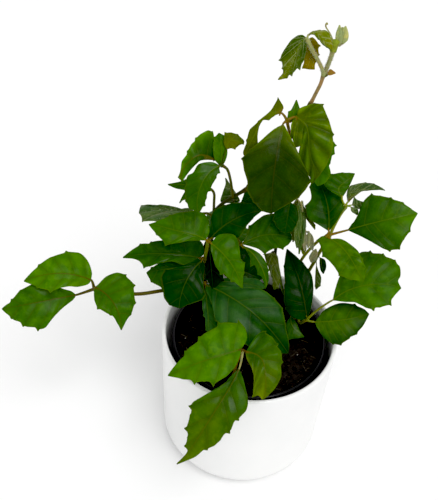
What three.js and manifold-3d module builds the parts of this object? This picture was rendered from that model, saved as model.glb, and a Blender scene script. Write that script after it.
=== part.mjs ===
import * as THREE from "three";
import { mergeVertices } from "three/addons/utils/BufferGeometryUtils.js";
import Module from "manifold-3d";

// Potted grape ivy, in millimetres, +Z up. The origin is the middle of the cover pot's flat base, +X is the
// right of the photograph and +Y points away from the viewer.

const COVER_POT = { rim: 62.5, foot: 60, height: 114, wall: 3, floor: 4, cornerWide: 22, cornerHigh: 17.5 };
const GROWER_POT = { rim: 55, top: 52, foot: 37.5, height: 104.5, wall: 1.1, rimHigh: 9, drainHole: 3 };
const GROWER_SIDES = 24;
const SOIL = { level: 101, dome: 1.5, lumps: 0.8 };
const GAP = 0.3;
const BLADE_THICK = 0.65;
const TOOTH = 0.9;
const FULL_BLADE = 40;
const VEIN_LEAD = 1.6;
const STEM_FOOT_DEPTH = 28;

const wasm = await Module();
wasm.setup();

// The photograph's viewpoint in this frame: a place on a stem or a leaf is a pixel of the photograph and a
// depth, which is the place's y in millimetres.
const VIEW = { focal: 800, elevation: 43.6, roll: -4.2, middle: [219, 250], distance: 570, aside: -26, above: 55.5 };
const rise = THREE.MathUtils.degToRad(VIEW.elevation);
const lean = THREE.MathUtils.degToRad(VIEW.roll);
const forward = new THREE.Vector3(0, Math.cos(rise), -Math.sin(rise));
const level = new THREE.Vector3(1, 0, 0);
const upright = new THREE.Vector3(0, Math.sin(rise), Math.cos(rise));
const eye = new THREE.Vector3(0, 0, COVER_POT.height)
  .addScaledVector(forward, -VIEW.distance)
  .addScaledVector(level, VIEW.aside)
  .addScaledVector(upright, VIEW.above);
const across = level.clone().multiplyScalar(Math.cos(lean)).addScaledVector(upright, -Math.sin(lean));
const upward = level.clone().multiplyScalar(Math.sin(lean)).addScaledVector(upright, Math.cos(lean));

function sight(px, py) {
  return forward
    .clone()
    .addScaledVector(across, (px - VIEW.middle[0]) / VIEW.focal)
    .addScaledVector(upward, (VIEW.middle[1] - py) / VIEW.focal);
}

function at(px, py, depth) {
  const ray = sight(px, py);
  return eye.clone().addScaledVector(ray, (depth - eye.y) / ray.y);
}

function mm(x, y, z) {
  return new THREE.Vector3(x, y, z);
}

function seenOnPlane(px, py, point, normal) {
  const ray = sight(px, py);
  const reach = point.clone().sub(eye).dot(normal) / ray.dot(normal);
  return eye.clone().addScaledVector(ray, reach);
}

// Solids and meshes
function solid(geometry) {
  const bare = geometry.clone();
  bare.deleteAttribute("normal");
  bare.deleteAttribute("uv");
  const merged = mergeVertices(bare, 1e-4);
  return new wasm.Manifold(
    new wasm.Mesh({
      numProp: 3,
      vertProperties: new Float32Array(merged.attributes.position.array),
      triVerts: new Uint32Array(merged.index.array),
    }),
  );
}

function geometryOf(body) {
  const mesh = body.getMesh();
  const geometry = new THREE.BufferGeometry();
  geometry.setAttribute("position", new THREE.BufferAttribute(new Float32Array(mesh.vertProperties), 3));
  geometry.setIndex(new THREE.BufferAttribute(new Uint32Array(mesh.triVerts), 1));
  geometry.computeVertexNormals();
  return geometry;
}

// A round section carried along a smooth curve through the points.
function tube(points, radius, { sides = 5, steps = 6 } = {}) {
  const section = new THREE.Shape();
  for (let i = 0; i < sides; i++) {
    const angle = (2 * Math.PI * i) / sides;
    const x = radius * Math.cos(angle);
    const y = radius * Math.sin(angle);
    if (i === 0) section.moveTo(x, y);
    else section.lineTo(x, y);
  }
  section.closePath();
  const path = points.length > 2 ? new THREE.CatmullRomCurve3(points) : new THREE.LineCurve3(...points);
  return solid(new THREE.ExtrudeGeometry(section, { steps, extrudePath: path }));
}

function knob(point, radius) {
  return solid(new THREE.OctahedronGeometry(radius, 0).translate(point.x, point.y, point.z));
}

// Leaflets

// A margin is written as pixels of the photograph from base to tip, and a star marks a tooth.
function readMargin(text) {
  return text.split(" ").map((word) => {
    const [px, py] = word.replace("*", "").split(",").map(Number);
    return { px, py, tooth: word.endsWith("*") };
  });
}

// A leaflet with no margins of its own has the species' plain outline: shares of its length along the
// midrib, shares of its half width beside it, and a tooth or none.
const PLAIN_MARGIN = [
  [0.03, 0.35, false],
  [0.17, 0.8, false],
  [0.38, 1, true],
  [0.58, 0.86, true],
  [0.76, 0.55, true],
  [0.9, 0.22, false],
];

// The blade's own frame: e runs from base to tip, n faces the viewer, or up, before turn tips it towards
// the blade's right-hand side s, and a lean above 0 brings the tip nearer to the viewer.
function bladeFrame(leaflet) {
  const { base } = leaflet;
  const toEye = eye.clone().sub(base).normalize();
  const tip = leaflet.tip.isVector3 ? leaflet.tip : leaningTip(leaflet, base, toEye);
  const length = base.distanceTo(tip);
  const e = tip.clone().sub(base).normalize();
  const wanted = leaflet.face === "up" ? mm(0, 0, 1) : toEye;
  const facing = wanted.clone().addScaledVector(e, -wanted.dot(e)).normalize();
  const n = facing.applyAxisAngle(e, THREE.MathUtils.degToRad(leaflet.turn ?? 0));
  const s = e.clone().cross(n);
  return { base, e, n, s, length };
}

function leaningTip(leaflet, base, toEye) {
  const flat = seenOnPlane(leaflet.tip[0], leaflet.tip[1], base, toEye);
  const nearer = base.distanceTo(flat) * Math.tan(THREE.MathUtils.degToRad(leaflet.lean ?? 0));
  return flat.addScaledVector(eye.clone().sub(flat).normalize(), nearer);
}

// Height of the blade over its flat frame at a share u of the length and b millimetres beside the axis:
// an arch along the midrib, a fold at the midrib, and edges that curl back.
function bladeHeight(leaflet, frame, halfWidth, u, b) {
  const arch = (leaflet.arch ?? 0.08) * frame.length * 4 * u * (1 - u);
  const fold = Math.abs(b) * Math.tan(THREE.MathUtils.degToRad(leaflet.fold ?? 12));
  const curl = ((leaflet.curl ?? 0.25) * b * b) / halfWidth;
  return arch + fold - curl;
}

function bladePoint(leaflet, frame, halfWidth, u, b) {
  return frame.base
    .clone()
    .addScaledVector(frame.e, u * frame.length)
    .addScaledVector(frame.s, b)
    .addScaledVector(frame.n, bladeHeight(leaflet, frame, halfWidth, u, b));
}

// The place on the curved blade that the viewer sees at a pixel, as a share u and millimetres b.
function onBlade(leaflet, frame, halfWidth, px, py) {
  let u = 0;
  let b = 0;
  for (let pass = 0; pass < 8; pass++) {
    const lift = bladeHeight(leaflet, frame, halfWidth, u, b);
    const plane = frame.base.clone().addScaledVector(frame.n, lift);
    const hit = seenOnPlane(px, py, plane, frame.n).sub(frame.base);
    u = hit.dot(frame.e) / frame.length;
    b = hit.dot(frame.s);
  }
  return { u, b };
}

// Both margins as knots { r, u, b, tooth }. r is the share of the midrib where the side vein to the knot
// starts, which lies behind the knot, so that side veins run forward.
function bladeMargins(leaflet, frame) {
  const guess = leaflet.wide ?? 0.62 * frame.length;
  const sides = leaflet.margins
    ? leaflet.margins.map((text) =>
        readMargin(text).map(({ px, py, tooth }) => ({ ...onBlade(leaflet, frame, guess / 2, px, py), tooth })),
      )
    : [-1, 1].map((side) => PLAIN_MARGIN.map(([u, w, tooth]) => ({ u, b: (side * w * guess) / 2, tooth })));
  const mean = (side) => side.reduce((sum, knot) => sum + knot.b, 0) / side.length;
  sides.sort((p, q) => mean(p) - mean(q));
  const halfWidth = Math.max(...sides.flat().map((knot) => Math.abs(knot.b)));
  for (const [index, side] of sides.entries()) {
    const sign = index === 0 ? -1 : 1;
    side.unshift({ u: 0, b: sign * 0.3, tooth: false });
    side.push({ u: 1, b: sign * 0.35, tooth: false });
    const run = [0];
    for (let i = 1; i < side.length; i++) {
      const du = (side[i].u - side[i - 1].u) * frame.length;
      run.push(run[i - 1] + Math.hypot(du, side[i].b - side[i - 1].b));
    }
    side.forEach((knot, i) => (knot.r = (run[i] / run.at(-1)) ** VEIN_LEAD));
  }
  return { left: sides[0], right: sides[1], halfWidth };
}

// A smooth curve through a margin's knots, and past, which falls from 1 to 0 from a tooth to the next knot.
function marginAt(side, r) {
  const last = side.length - 2;
  let i = 0;
  while (i < last && r > side[i + 1].r) i++;
  const [p0, p1, p2, p3] = [side[Math.max(i - 1, 0)], side[i], side[i + 1], side[Math.min(i + 2, last + 1)]];
  const t = (r - p1.r) / (p2.r - p1.r);
  const blend = (key) => {
    const m1 = p1.tooth || i === 0 ? p2[key] - p1[key] : (p2[key] - p0[key]) / 2;
    const m2 = p2.tooth || i === last ? p2[key] - p1[key] : (p3[key] - p1[key]) / 2;
    return (
      (2 * t ** 3 - 3 * t ** 2 + 1) * p1[key] +
      (t ** 3 - 2 * t ** 2 + t) * m1 +
      (-2 * t ** 3 + 3 * t ** 2) * p2[key] +
      (t ** 3 - t ** 2) * m2
    );
  };
  return { u: blend("u"), b: blend("b"), past: p1.tooth && t > 1e-6 ? (1 - t) ** 2 : 0 };
}

// Both edges and the midrib at a share r. Past a tooth the edge steps in by the tooth's height, and the
// midrib's own bow is kept to the middle of the blade.
function crossing(margins, bow, length, r) {
  const left = marginAt(margins.left, r);
  const right = marginAt(margins.right, r);
  const tooth = Math.min(TOOTH, 0.025 * length, 0.12 * (right.b - left.b));
  left.b += tooth * left.past;
  right.b -= tooth * right.past;
  const between = (share) => THREE.MathUtils.lerp(left.b, right.b, share);
  const b = THREE.MathUtils.clamp(4 * bow * r * (1 - r), between(0.3), between(0.7));
  return { left, rib: { u: r, b }, right };
}

// The blade's rows pass through every tooth, just past each tooth of a full blade, and through other knots.
function bladeRows(margins, full) {
  const JUST_PAST = 0.04;
  const APART = { tooth: 0.02, past: 0.04, plain: 0.06 };
  const knots = [...margins.left, ...margins.right];
  const teeth = knots.filter((knot) => knot.tooth);
  const rows = [1];
  const arc = (r) => r ** (1 / VEIN_LEAD);
  const add = (r, apart) => {
    if (r > 0 && r < 1 && rows.every((row) => Math.abs(arc(row) - arc(r)) > apart)) rows.push(r);
  };
  for (const { r } of teeth) add(r, APART.tooth);
  for (const { r } of full ? teeth : []) add(r + JUST_PAST, APART.past);
  for (const { r } of knots) add(r, APART.plain);
  return rows.sort((p, q) => p - q);
}

function bladeNormal(leaflet, frame, halfWidth, u, b) {
  const lift = (du, db) => bladeHeight(leaflet, frame, halfWidth, u + du, b + db);
  const slopeU = (lift(0.01, 0) - lift(-0.01, 0)) / (0.02 * frame.length);
  const slopeB = (lift(0, 0.1) - lift(0, -0.1)) / 0.2;
  return frame.n.clone().addScaledVector(frame.e, -slopeU).addScaledVector(frame.s, -slopeB).normalize();
}

// The blade runs in columns from the left margin over the midrib to the right margin. Its first two rows are
// the petiolule, which starts inside the hub.
function blade(leaflet, hub, stalk) {
  const frame = bladeFrame(leaflet);
  const margins = bladeMargins(leaflet, frame);
  const { halfWidth } = margins;
  const through = leaflet.through ? onBlade(leaflet, frame, halfWidth, ...leaflet.through) : { u: 0.5, b: 0 };
  const bow = through.b / (4 * through.u * (1 - through.u));
  const full = frame.length > FULL_BLADE;
  const rows = bladeRows(margins, full);
  const columns = full ? [-1, -0.55, 0, 0.55, 1] : [-1, 0, 1];
  const top = [];
  const bottom = [];
  const start = hub.distanceTo(frame.base) > stalk ? hub : frame.base.clone().addScaledVector(frame.e, -2 * stalk);
  const atHub = frame.base.clone().sub(start).cross(frame.n).normalize();
  const atBase = atHub.clone().add(frame.s).normalize();
  for (const [middle, aside] of [
    [start, atHub],
    [frame.base, atBase],
  ]) {
    for (const v of columns) {
      const place = middle.clone().addScaledVector(aside, v * stalk);
      top.push(place.clone().addScaledVector(frame.n, stalk));
      bottom.push(place.clone().addScaledVector(frame.n, -stalk));
    }
  }
  for (const r of rows) {
    const { left, rib, right } = crossing(margins, bow, frame.length, r);
    for (const v of columns) {
      const edge = v < 0 ? left : right;
      const u = THREE.MathUtils.lerp(rib.u, edge.u, Math.abs(v));
      const b = THREE.MathUtils.lerp(rib.b, edge.b, Math.abs(v));
      const middle = bladePoint(leaflet, frame, halfWidth, u, b);
      const normal = bladeNormal(leaflet, frame, halfWidth, u, b);
      top.push(middle.clone().addScaledVector(normal, BLADE_THICK / 2));
      bottom.push(middle.clone().addScaledVector(normal, -BLADE_THICK / 2));
    }
  }
  return solid(slab(top, bottom, rows.length + 2, columns.length));
}

// Two alike grids of points, split along the same diagonals and joined round their edge.
function slab(top, bottom, rowCount, columnCount) {
  const under = top.length;
  const place = (i, j) => i * columnCount + j;
  const index = [];
  const rim = (p, q) => index.push(p, p + under, q + under, p, q + under, q);
  const [lastRow, lastColumn] = [rowCount - 1, columnCount - 1];
  for (let i = 0; i < lastRow; i++) {
    for (let j = 0; j < lastColumn; j++) {
      const [p, q, r, s] = [place(i, j), place(i, j + 1), place(i + 1, j + 1), place(i + 1, j)];
      index.push(p, q, r, p, r, s);
      index.push(p + under, r + under, q + under, p + under, s + under, r + under);
    }
    rim(place(i + 1, 0), place(i, 0));
    rim(place(i, lastColumn), place(i + 1, lastColumn));
  }
  for (let j = 0; j < lastColumn; j++) {
    rim(place(0, j), place(0, j + 1));
    rim(place(lastRow, j + 1), place(lastRow, j));
  }
  const geometry = new THREE.BufferGeometry();
  const positions = [...top, ...bottom].flatMap((point) => point.toArray());
  geometry.setAttribute("position", new THREE.Float32BufferAttribute(positions, 3));
  geometry.setIndex(index);
  return geometry;
}

// A leaf: its petiole from the stem to the hub, a petiolule to each leaflet, and the blades.
function leaf({ petiole, leaflets, thick = 0.9 }) {
  const hub = petiole.at(-1);
  const pieces = [tube(petiole, thick, { sides: 4, steps: petiole.length > 2 ? 2 * petiole.length - 2 : 1 })];
  pieces.push(knob(hub, 2 * thick));
  for (const leaflet of leaflets) {
    pieces.push(blade(leaflet, hub, 0.6 * thick));
  }
  return pieces;
}

// A leafy stem: a straight foot in its hole in the soil, the stem's stretches, and its leaves.
function footLine({ foot }) {
  return [mm(foot[0], foot[1], SOIL.level - STEM_FOOT_DEPTH), mm(foot[0], foot[1], SOIL.level + 3)];
}

function leafyStem(stem) {
  const pieces = [tube(footLine(stem), stem.thick, { steps: 1 })];
  for (const { points, thick } of stem.stretches) {
    pieces.push(tube(points, thick, { steps: 2 * points.length }));
    pieces.push(knob(points.at(-1), 1.5 * thick));
  }
  for (const one of stem.leaves) pieces.push(...leaf(one));
  return pieces;
}

const climbingStem = {
  name: "climbing_stem",
  foot: [-27, 26],
  thick: 1.5,
  stretches: [
    {
      thick: 1.5,
      points: [mm(-27, 26, 102), at(207, 298, 20), at(205, 281, 14), at(205, 260, 14), at(209, 240, 15)],
    },
    {
      thick: 1.25,
      points: [at(209, 240, 15), at(213.5, 214, 23), at(222, 204, 23), at(233, 197, 21), at(246, 189.5, 19)],
    },
    {
      thick: 1.25,
      points: [at(246, 189.5, 19), at(270, 169, 21), at(291, 137, 26), at(303, 115, 27), at(311, 103, 27)],
    },
    {
      thick: 1.15,
      points: [at(311, 103, 27), at(316, 93, 26), at(320.5, 84, 25), at(323.5, 75, 25), at(331, 57, 25), at(336, 44, 26)],
    },
  ],
  leaves: [
    {
      // far left leaf
      petiole: [at(204, 284, 14), at(185, 288, 8), at(163, 290.5, 0), at(136, 294, -6), at(94, 289, -10)],
      leaflets: [
        {
          base: at(91, 280, -9),
          tip: [24, 281],
          through: [57, 273.5],
          turn: 14,
          margins: ["92,274 90,266 86,259 79,253.5 66,251.5* 50,258 38.5,264.5*", "88,284.5 78,287 66,287 50,293* 37,288*"],
        },
        {
          base: at(76, 295, -12),
          tip: [2, 309],
          through: [39, 302],
          margins: ["71,291 64,289 50,284 33,279* 20,290 11,299*", "73,300 62,308.5 52,319 45,328 38,331.5* 23,327* 11,319*"],
        },
        {
          base: at(95, 287, -12),
          tip: [121.5, 330],
          through: [113, 302],
          lean: 8,
          margins: [
            "94,293 94.5,301 97,309.5* 110,315.5* 117,323",
            "99,284 106,277 117,273.5 127,275.5* 136,286.5* 134.5,292 136.5,303.5* 131.5,315* 127,320",
          ],
        },
      ],
    },
    {
      // large dark leaf low in the middle
      petiole: [at(204, 284, 14), at(205, 282, 8)],
      leaflets: [
        {
          base: at(206, 284.5, 6),
          tip: [288, 353],
          through: [247, 308],
          margins: [
            "212,284.5 222,286.5 240,287 262,289.5 275,298* 283,308* 286,325* 289,344",
            "206,291 210,299 213,309 215,321* 228,334* 250,348* 272,353",
          ],
        },
        {
          base: at(208, 282, 10),
          tip: [266, 288],
          turn: -30,
          margins: ["212,279.5 228,278 246,275.5* 258,279", "214,288 232,293 250,293*"],
        },
        {
          base: at(206, 287, 10),
          tip: [211, 345],
          turn: 15,
          margins: ["203,296 202,306 203,316* 205.5,330*", "214,297 219,312* 218,330*"],
        },
      ],
    },
    {
      // dark left leaf
      petiole: [at(205, 262, 14), at(202.5, 258, 9)],
      leaflets: [
        {
          base: at(199, 258, 10),
          tip: [123, 257.5],
          through: [160, 253.5],
          turn: 18,
          margins: [
            "199.5,252 198,244 191,238.5 180,236 165,238* 151,241.5* 140,243.5*",
            "196,262 184,265 172,261.5 160,263 150,266.5 143.5,268.5* 137,260",
          ],
        },
        {
          base: at(189, 264, 15),
          tip: [146.5, 273],
          turn: 10,
          margins: ["180,260 165,260 151,267*", "185,283 175,292 163,291* 151,282.5*"],
        },
        {
          base: at(202, 260, 4),
          tip: [179, 308.5],
          through: [189, 276],
          margins: [
            "197,259 190,262 178,267 164,270* 161,277 162,285* 164,297 169,305*",
            "204.5,266 203.5,280 204,289 206,295* 202,300 190,304.5*",
          ],
        },
      ],
    },
    {
      // bright left leaf
      petiole: [at(204, 260, 14), at(206, 252, 7), at(208, 241, 0)],
      leaflets: [
        {
          base: at(206, 240, -1),
          tip: [149, 224.5],
          through: [176, 230],
          turn: 8,
          margins: [
            "209,233 209,226 206.5,217 202,213 195,210* 180,212.5 170,215* 158,221",
            "200,240.5 190,240.5 178,243 165,246* 160,238 156,235*",
          ],
        },
        {
          base: at(211, 243, -4),
          tip: [242.5, 288],
          through: [230, 262],
          margins: [
            "211,250 213,258 216,267 220,275* 226,276.5 231,282* 236,283.5",
            "217,236 223,234 233,234.5 238,241 240,252 242,260* 245,262 244.5,273* 243,281",
          ],
        },
        {
          base: at(210, 239, 4),
          tip: [261, 211],
          through: [233, 220],
          turn: -12,
          margins: [
            "209,229 211,218 215,210 224,205* 233,203 242,202* 252,204",
            "216,237 230,237 239,238 246,228.5* 253,219*",
          ],
        },
      ],
    },
    {
      // middle leaf
      petiole: [at(213.5, 214, 23), at(225, 224, 15), at(235, 235, 8), at(241, 245, 3)],
      leaflets: [
        {
          base: at(242, 244, 2),
          tip: [292, 239],
          through: [268, 236.5],
          lean: -20,
          turn: -10,
          margins: ["246,238 249,230 248,225.5* 262,216.5 275,214* 287,224*", "252,247 258,249 265,255* 275,248.5 283,250* 288,245"],
        },
        {
          base: at(242, 246, 2),
          tip: [266, 287.5],
          through: [259, 262],
          margins: ["247,251 250,258 250.5,266.5* 255,266 257.5,275* 262,278", "252,249 260,254 266,262 269.5,270* 269,279"],
        },
      ],
    },
    {
      // grey-green leaf seen edge on, behind
      petiole: [at(213.5, 217, 22), at(208, 213.5, 25), at(200, 214, 27)],
      leaflets: [
        {
          base: at(196, 215, 27),
          tip: [139, 213.5],
          turn: 62,
          margins: ["190,210 177,209* 168,206 155,205.5 141,206.5*", "190,222 170,227 150,226 142,223.5*"],
        },
      ],
    },
    {
      // leaf whose tips show behind the drooping one
      petiole: [at(213.5, 214, 23), at(214, 203, 22), at(213.5, 192, 19), at(206, 186, 15)],
      leaflets: [
        { base: at(203, 185, 15), tip: [168, 184.5], margins: ["195,176 186,179 180,181.5", "196,194 186,190.5 176,188.5"] },
        { base: at(201, 189, 16), tip: [179.5, 203], margins: ["190,187 184,193", "192,200 184,200"] },
      ],
    },
    {
      // drooping upper left leaf
      petiole: [at(233, 197, 21), at(232, 190, 17), at(230, 178, 10), at(227, 169, 6), at(222.5, 165.5, 4)],
      leaflets: [
        {
          base: at(220, 165.5, 1),
          tip: [199, 212],
          through: [203, 181],
          margins: [
            "212,162 200,163 192,172 186,176* 184.5,188 185,200 188,209*",
            "221,170 220.5,173.5* 215,179 213.5,187 211,191* 207,198 205,207*",
          ],
        },
        {
          base: at(215, 160, 5),
          tip: [180.5, 179.5],
          through: [197, 152],
          margins: ["215,150 215,134* 210,130.5 200,134.5* 193,143 187,152* 182,163 179,175*", "205,158.5 198,161 190,170 184,180"],
          arch: 0.14,
        },
        { base: at(221, 163, 5), tip: [220, 134], turn: 45, margins: ["215,157 213,147 214,137*", "225,157 225.5,146 225,138"] },
        {
          base: at(226, 150, 9),
          tip: [243.5, 144.5],
          margins: ["223,141 222,133* 231,133.5* 240,137", "231,148 235,150.5*"],
        },
      ],
    },
    {
      // young leaflet under it
      petiole: [at(232, 197.5, 21), at(234, 203, 25)],
      thick: 0.7,
      leaflets: [
        { base: at(234, 203, 26), tip: [225.5, 178], margins: ["223,202 223,195 226,187", "240,201 236,193 230,184"] },
      ],
    },
    {
      // top leaf with the big dark leaflet
      petiole: [at(291, 137, 26), at(288.5, 128, 20), at(287, 120.5, 17)],
      thick: 1.05,
      leaflets: [
        {
          base: at(281, 113, 15),
          tip: [249, 160],
          through: [262, 124],
          lean: -15,
          margins: ["283.5,107 278,97* 271,110 258,121* 250,129 246,140* 243,153", "275,115.5 269,120.5* 262,121 257,131 258,144*"],
        },
        {
          base: at(283, 124, 15),
          tip: [271, 212],
          through: [275, 165],
          margins: [
            "281,127.5 275,128.5 268,134 258,143 249,150* 241,158.5* 244,170 247.5,183* 247,190 253,201* 262,208",
            "288,132 297,150 303,163 309,174* 311.5,182* 306,189 299,197* 292,200 280,206",
          ],
        },
        {
          base: at(296, 117, 19),
          tip: [312, 184],
          through: [311, 150],
          lean: -6,
          margins: [
            "291,124 290,137* 295,147 302,145.5 302,151* 298,155 304,166 309,176*",
            "300,108 315,102.5* 324,103.5* 329,120 334,134* 333,141 331,153 326,165 320,175*",
          ],
        },
        { base: at(291, 122, 20), tip: [296.5, 100], lean: -10, margins: ["287,119 288,111.5* 292,108", "303,118 300,109"] },
      ],
    },
    {
      // bright leaflet behind it
      petiole: [at(303, 115, 27), at(314, 126, 28), at(321, 136, 28)],
      leaflets: [
        { base: at(322, 138, 28), tip: [323, 176], margins: ["316,150 315,165*", "333,141 337,145.5* 335,154* 330.5,163.5*"] },
      ],
    },
    {
      // folded young leaf at the tip
      petiole: [at(323.5, 75, 25), at(322, 68, 24), at(319, 62, 22), at(313, 52, 20), at(307.5, 40, 19)],
      leaflets: [
        {
          base: at(305, 39, 18),
          tip: [278, 79.5],
          through: [291, 52],
          fold: -8,
          margins: ["303,35 297,34.5 290,39 284,47 278.5,60* 282,63 282,68.5* 282.5,73", "304,48 303,60 300.5,69.5* 297,67.5 292,76.5* 286.5,78.5*"],
        },
        {
          base: at(307, 42, 20),
          tip: [313.5, 70],
          fold: -8,
          margins: ["304,52 302,62 302,68.5*", "312,50 316.5,59* 315.5,65"],
        },
        { base: at(309, 38.5, 20), tip: [319.5, 54.5], margins: ["311,45 315,50", "312.5,38 320.5,45.5* 318,49.5"] },
        {
          base: at(309, 34.5, 20),
          tip: [333, 50.5],
          through: [322, 37],
          margins: ["312,31 320,29.8* 328,31 332,38* 334,45", "314,36 319.5,42* 325.5,47.5*"],
        },
      ],
    },
    {
      // bud, with a scale on each side, and the stipule
      petiole: [at(333, 52, 25), at(336, 44, 26)],
      leaflets: [
        { base: at(337, 44, 26), tip: [339.5, 25], fold: 25, margins: ["335,38 335,31", "343,36 343.5,30"] },
        { base: at(339, 43, 28), tip: [345, 26], fold: 25, margins: ["341,36 342,31", "348.5,39 349,32"] },
      ],
    },
    {
      // dark leaflets in the shade between the left and the middle leaves
      petiole: [at(205, 270, 14), at(210, 264, 24), at(216, 262, 30)],
      leaflets: [
        {
          base: at(222, 262, 32),
          tip: [262, 279],
          margins: ["226,253 238,249 250,254* 260,266*", "224,275 236,284* 250,284*"],
        },
        { base: at(214, 266, 27), tip: [213, 289], margins: ["206,270 205,279*", "222,272 225,281*"] },
      ],
    },
    {
      // leaf at the back, behind the left leaves
      petiole: [at(205, 262, 14), mm(-32, 40, 138), mm(-32, 60, 142), mm(-30, 72, 138)],
      leaflets: [
        { base: mm(-35, 74, 137), tip: mm(-64, 88, 124), face: "up", wide: 24 },
        { base: mm(-30, 79, 137), tip: mm(-27, 112, 128), face: "up", wide: 22 },
        { base: mm(-25, 73, 137), tip: mm(6, 85, 126), face: "up", wide: 21 },
      ],
    },
    {
      // leaf at the back, behind the big dark leaflet
      petiole: [at(262, 177, 20.5), mm(4, 40, 203), mm(7, 54, 200)],
      leaflets: [
        { base: mm(10, 60, 200), tip: mm(12, 88, 190), face: "up", wide: 15 },
        { base: mm(12, 55, 200), tip: mm(29, 69, 191), face: "up", wide: 13 },
      ],
    },
    {
      // leaflet whose margin shows below the big dark leaflet
      petiole: [at(257, 182, 20), at(264, 185, 26)],
      leaflets: [
        {
          base: at(267, 187, 28),
          tip: [241, 203],
          lean: -25,
          margins: ["262,180 250,182 244.5,187.5* 243,197", "270,200 266,210 258,209 249,206*"],
        },
      ],
    },
    {
      petiole: [at(323.5, 76, 25), at(327, 74, 25)],
      leaflets: [{ base: at(327, 74, 25), tip: [335.5, 73.5], margins: ["330,69.5", "331,75.5"] }],
    },
  ],
  tendrils: [[at(334, 50, 26), at(332, 38, 28), at(330, 33, 28), at(327, 29, 28), at(325.5, 25, 28), at(326.8, 22.5, 28)]],
};

const frontShoot = {
  name: "front_shoot",
  foot: [-9, -36],
  thick: 1.2,
  stretches: [{ thick: 1.2, points: [mm(-9, -36, 102), mm(-9.5, -38, 112)] }],
  leaves: [
    {
      // bright leaf that hangs over the rim
      petiole: [mm(-9.5, -38, 112), mm(-9, -43, 130), at(243, 350.5, -48)],
      thick: 1,
      leaflets: [
        {
          base: at(241, 349.5, -48),
          tip: [168, 375.5],
          through: [205, 360.5],
          turn: 8,
          margins: [
            "244,345 247,338 245,328 238.5,320* 218,322.5* 198.5,337* 184.5,351*",
            "240,356 235,367 226,377 213.5,387* 205,382 194.5,385* 183,379.5",
          ],
        },
        {
          base: at(239, 369, -54),
          tip: [177, 464],
          through: [213, 415],
          lean: -8,
          margins: [
            "230,377 222,386 205,395 193,402 188,406* 189.5,415 184,428.5* 187,437 184,446* 187,452",
            "243,378 245.5,388 248,401 246,411 239,421* 230,434* 221,440 214,446 207.5,450.5* 195,457",
          ],
        },
        {
          base: at(246, 351.5, -49),
          tip: [263, 399.5],
          through: [268, 373],
          margins: [
            "247,359 252,369 254,380 253,390 252,397.5* 258,395.5",
            "250,345 256,336 262,331.5 266,331* 272,337 278,344* 281,352 283,362* 281,376 275,388 268,396*",
          ],
        },
      ],
    },
  ],
};

const middleShoot = {
  name: "middle_shoot",
  foot: [24, 37],
  thick: 1.2,
  stretches: [
    {
      thick: 1.2,
      points: [mm(24, 37, 102), at(279, 296, 38), at(276.5, 280, 38), at(275.5, 250, 35), at(282, 228, 30)],
    },
    { thick: 0.9, points: [at(282, 228, 30), at(292, 212, 25), at(301, 204, 22)] },
  ],
  leaves: [
    {
      petiole: [at(292, 212, 25), at(290, 204, 22)],
      leaflets: [
        {
          base: at(290, 202, 21),
          tip: [285, 233],
          margins: ["283,203 275,208 272.5,220.5* 276,226 279.5,231*", "293,210 292,224 290,231*"],
        },
      ],
    },
    {
      // silvery young leaves that hang from the shoot's tip
      petiole: [at(292, 212, 25), at(301, 204, 22)],
      thick: 0.7,
      leaflets: [
        { base: at(297, 201, 25), tip: [292.5, 241], turn: 15, margins: ["291,210 290.5,228", "297,214 295.5,232"] },
        { base: at(299, 201, 22), tip: [297, 248], turn: 15, margins: ["294,215 294.5,235* 295,243", "301,218 299.5,238*"] },
        { base: at(302, 201, 27), tip: [299, 252.5], turn: 20, margins: ["298.5,222 298,240", "304.5,215 304.5,228 302,243"] },
        { base: at(303, 206, 26), tip: [315, 229.5], margins: ["304,213 307,220", "306,209 309,217 315.5,223*"] },
      ],
    },
    {
      petiole: [at(301, 204, 22), at(304, 218, 20), at(305, 232, 18)],
      thick: 0.7,
      leaflets: [
        { base: at(305, 233, 18), tip: [308, 250], fold: 20, margins: ["303,240 304,247", "313,237 313,244"] },
        { base: at(304, 236, 18), tip: [303, 254.5], margins: ["300.5,241 301,249", "306,240 306,249"] },
      ],
    },
    {
      // olive hanging leaflets
      petiole: [at(275.5, 256, 36), at(273, 252, 29)],
      leaflets: [
        {
          base: at(271, 253, 26),
          tip: [274, 290],
          turn: 20,
          margins: ["265,258* 269,268 272,278* 273,286", "277,255 278,265 279,278 279,288*"],
        },
        { base: at(276, 258, 29), tip: [283, 295], margins: ["278,272 280,286", "279.5,268 281.5,280* 284,291"] },
      ],
    },
  ],
};

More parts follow.
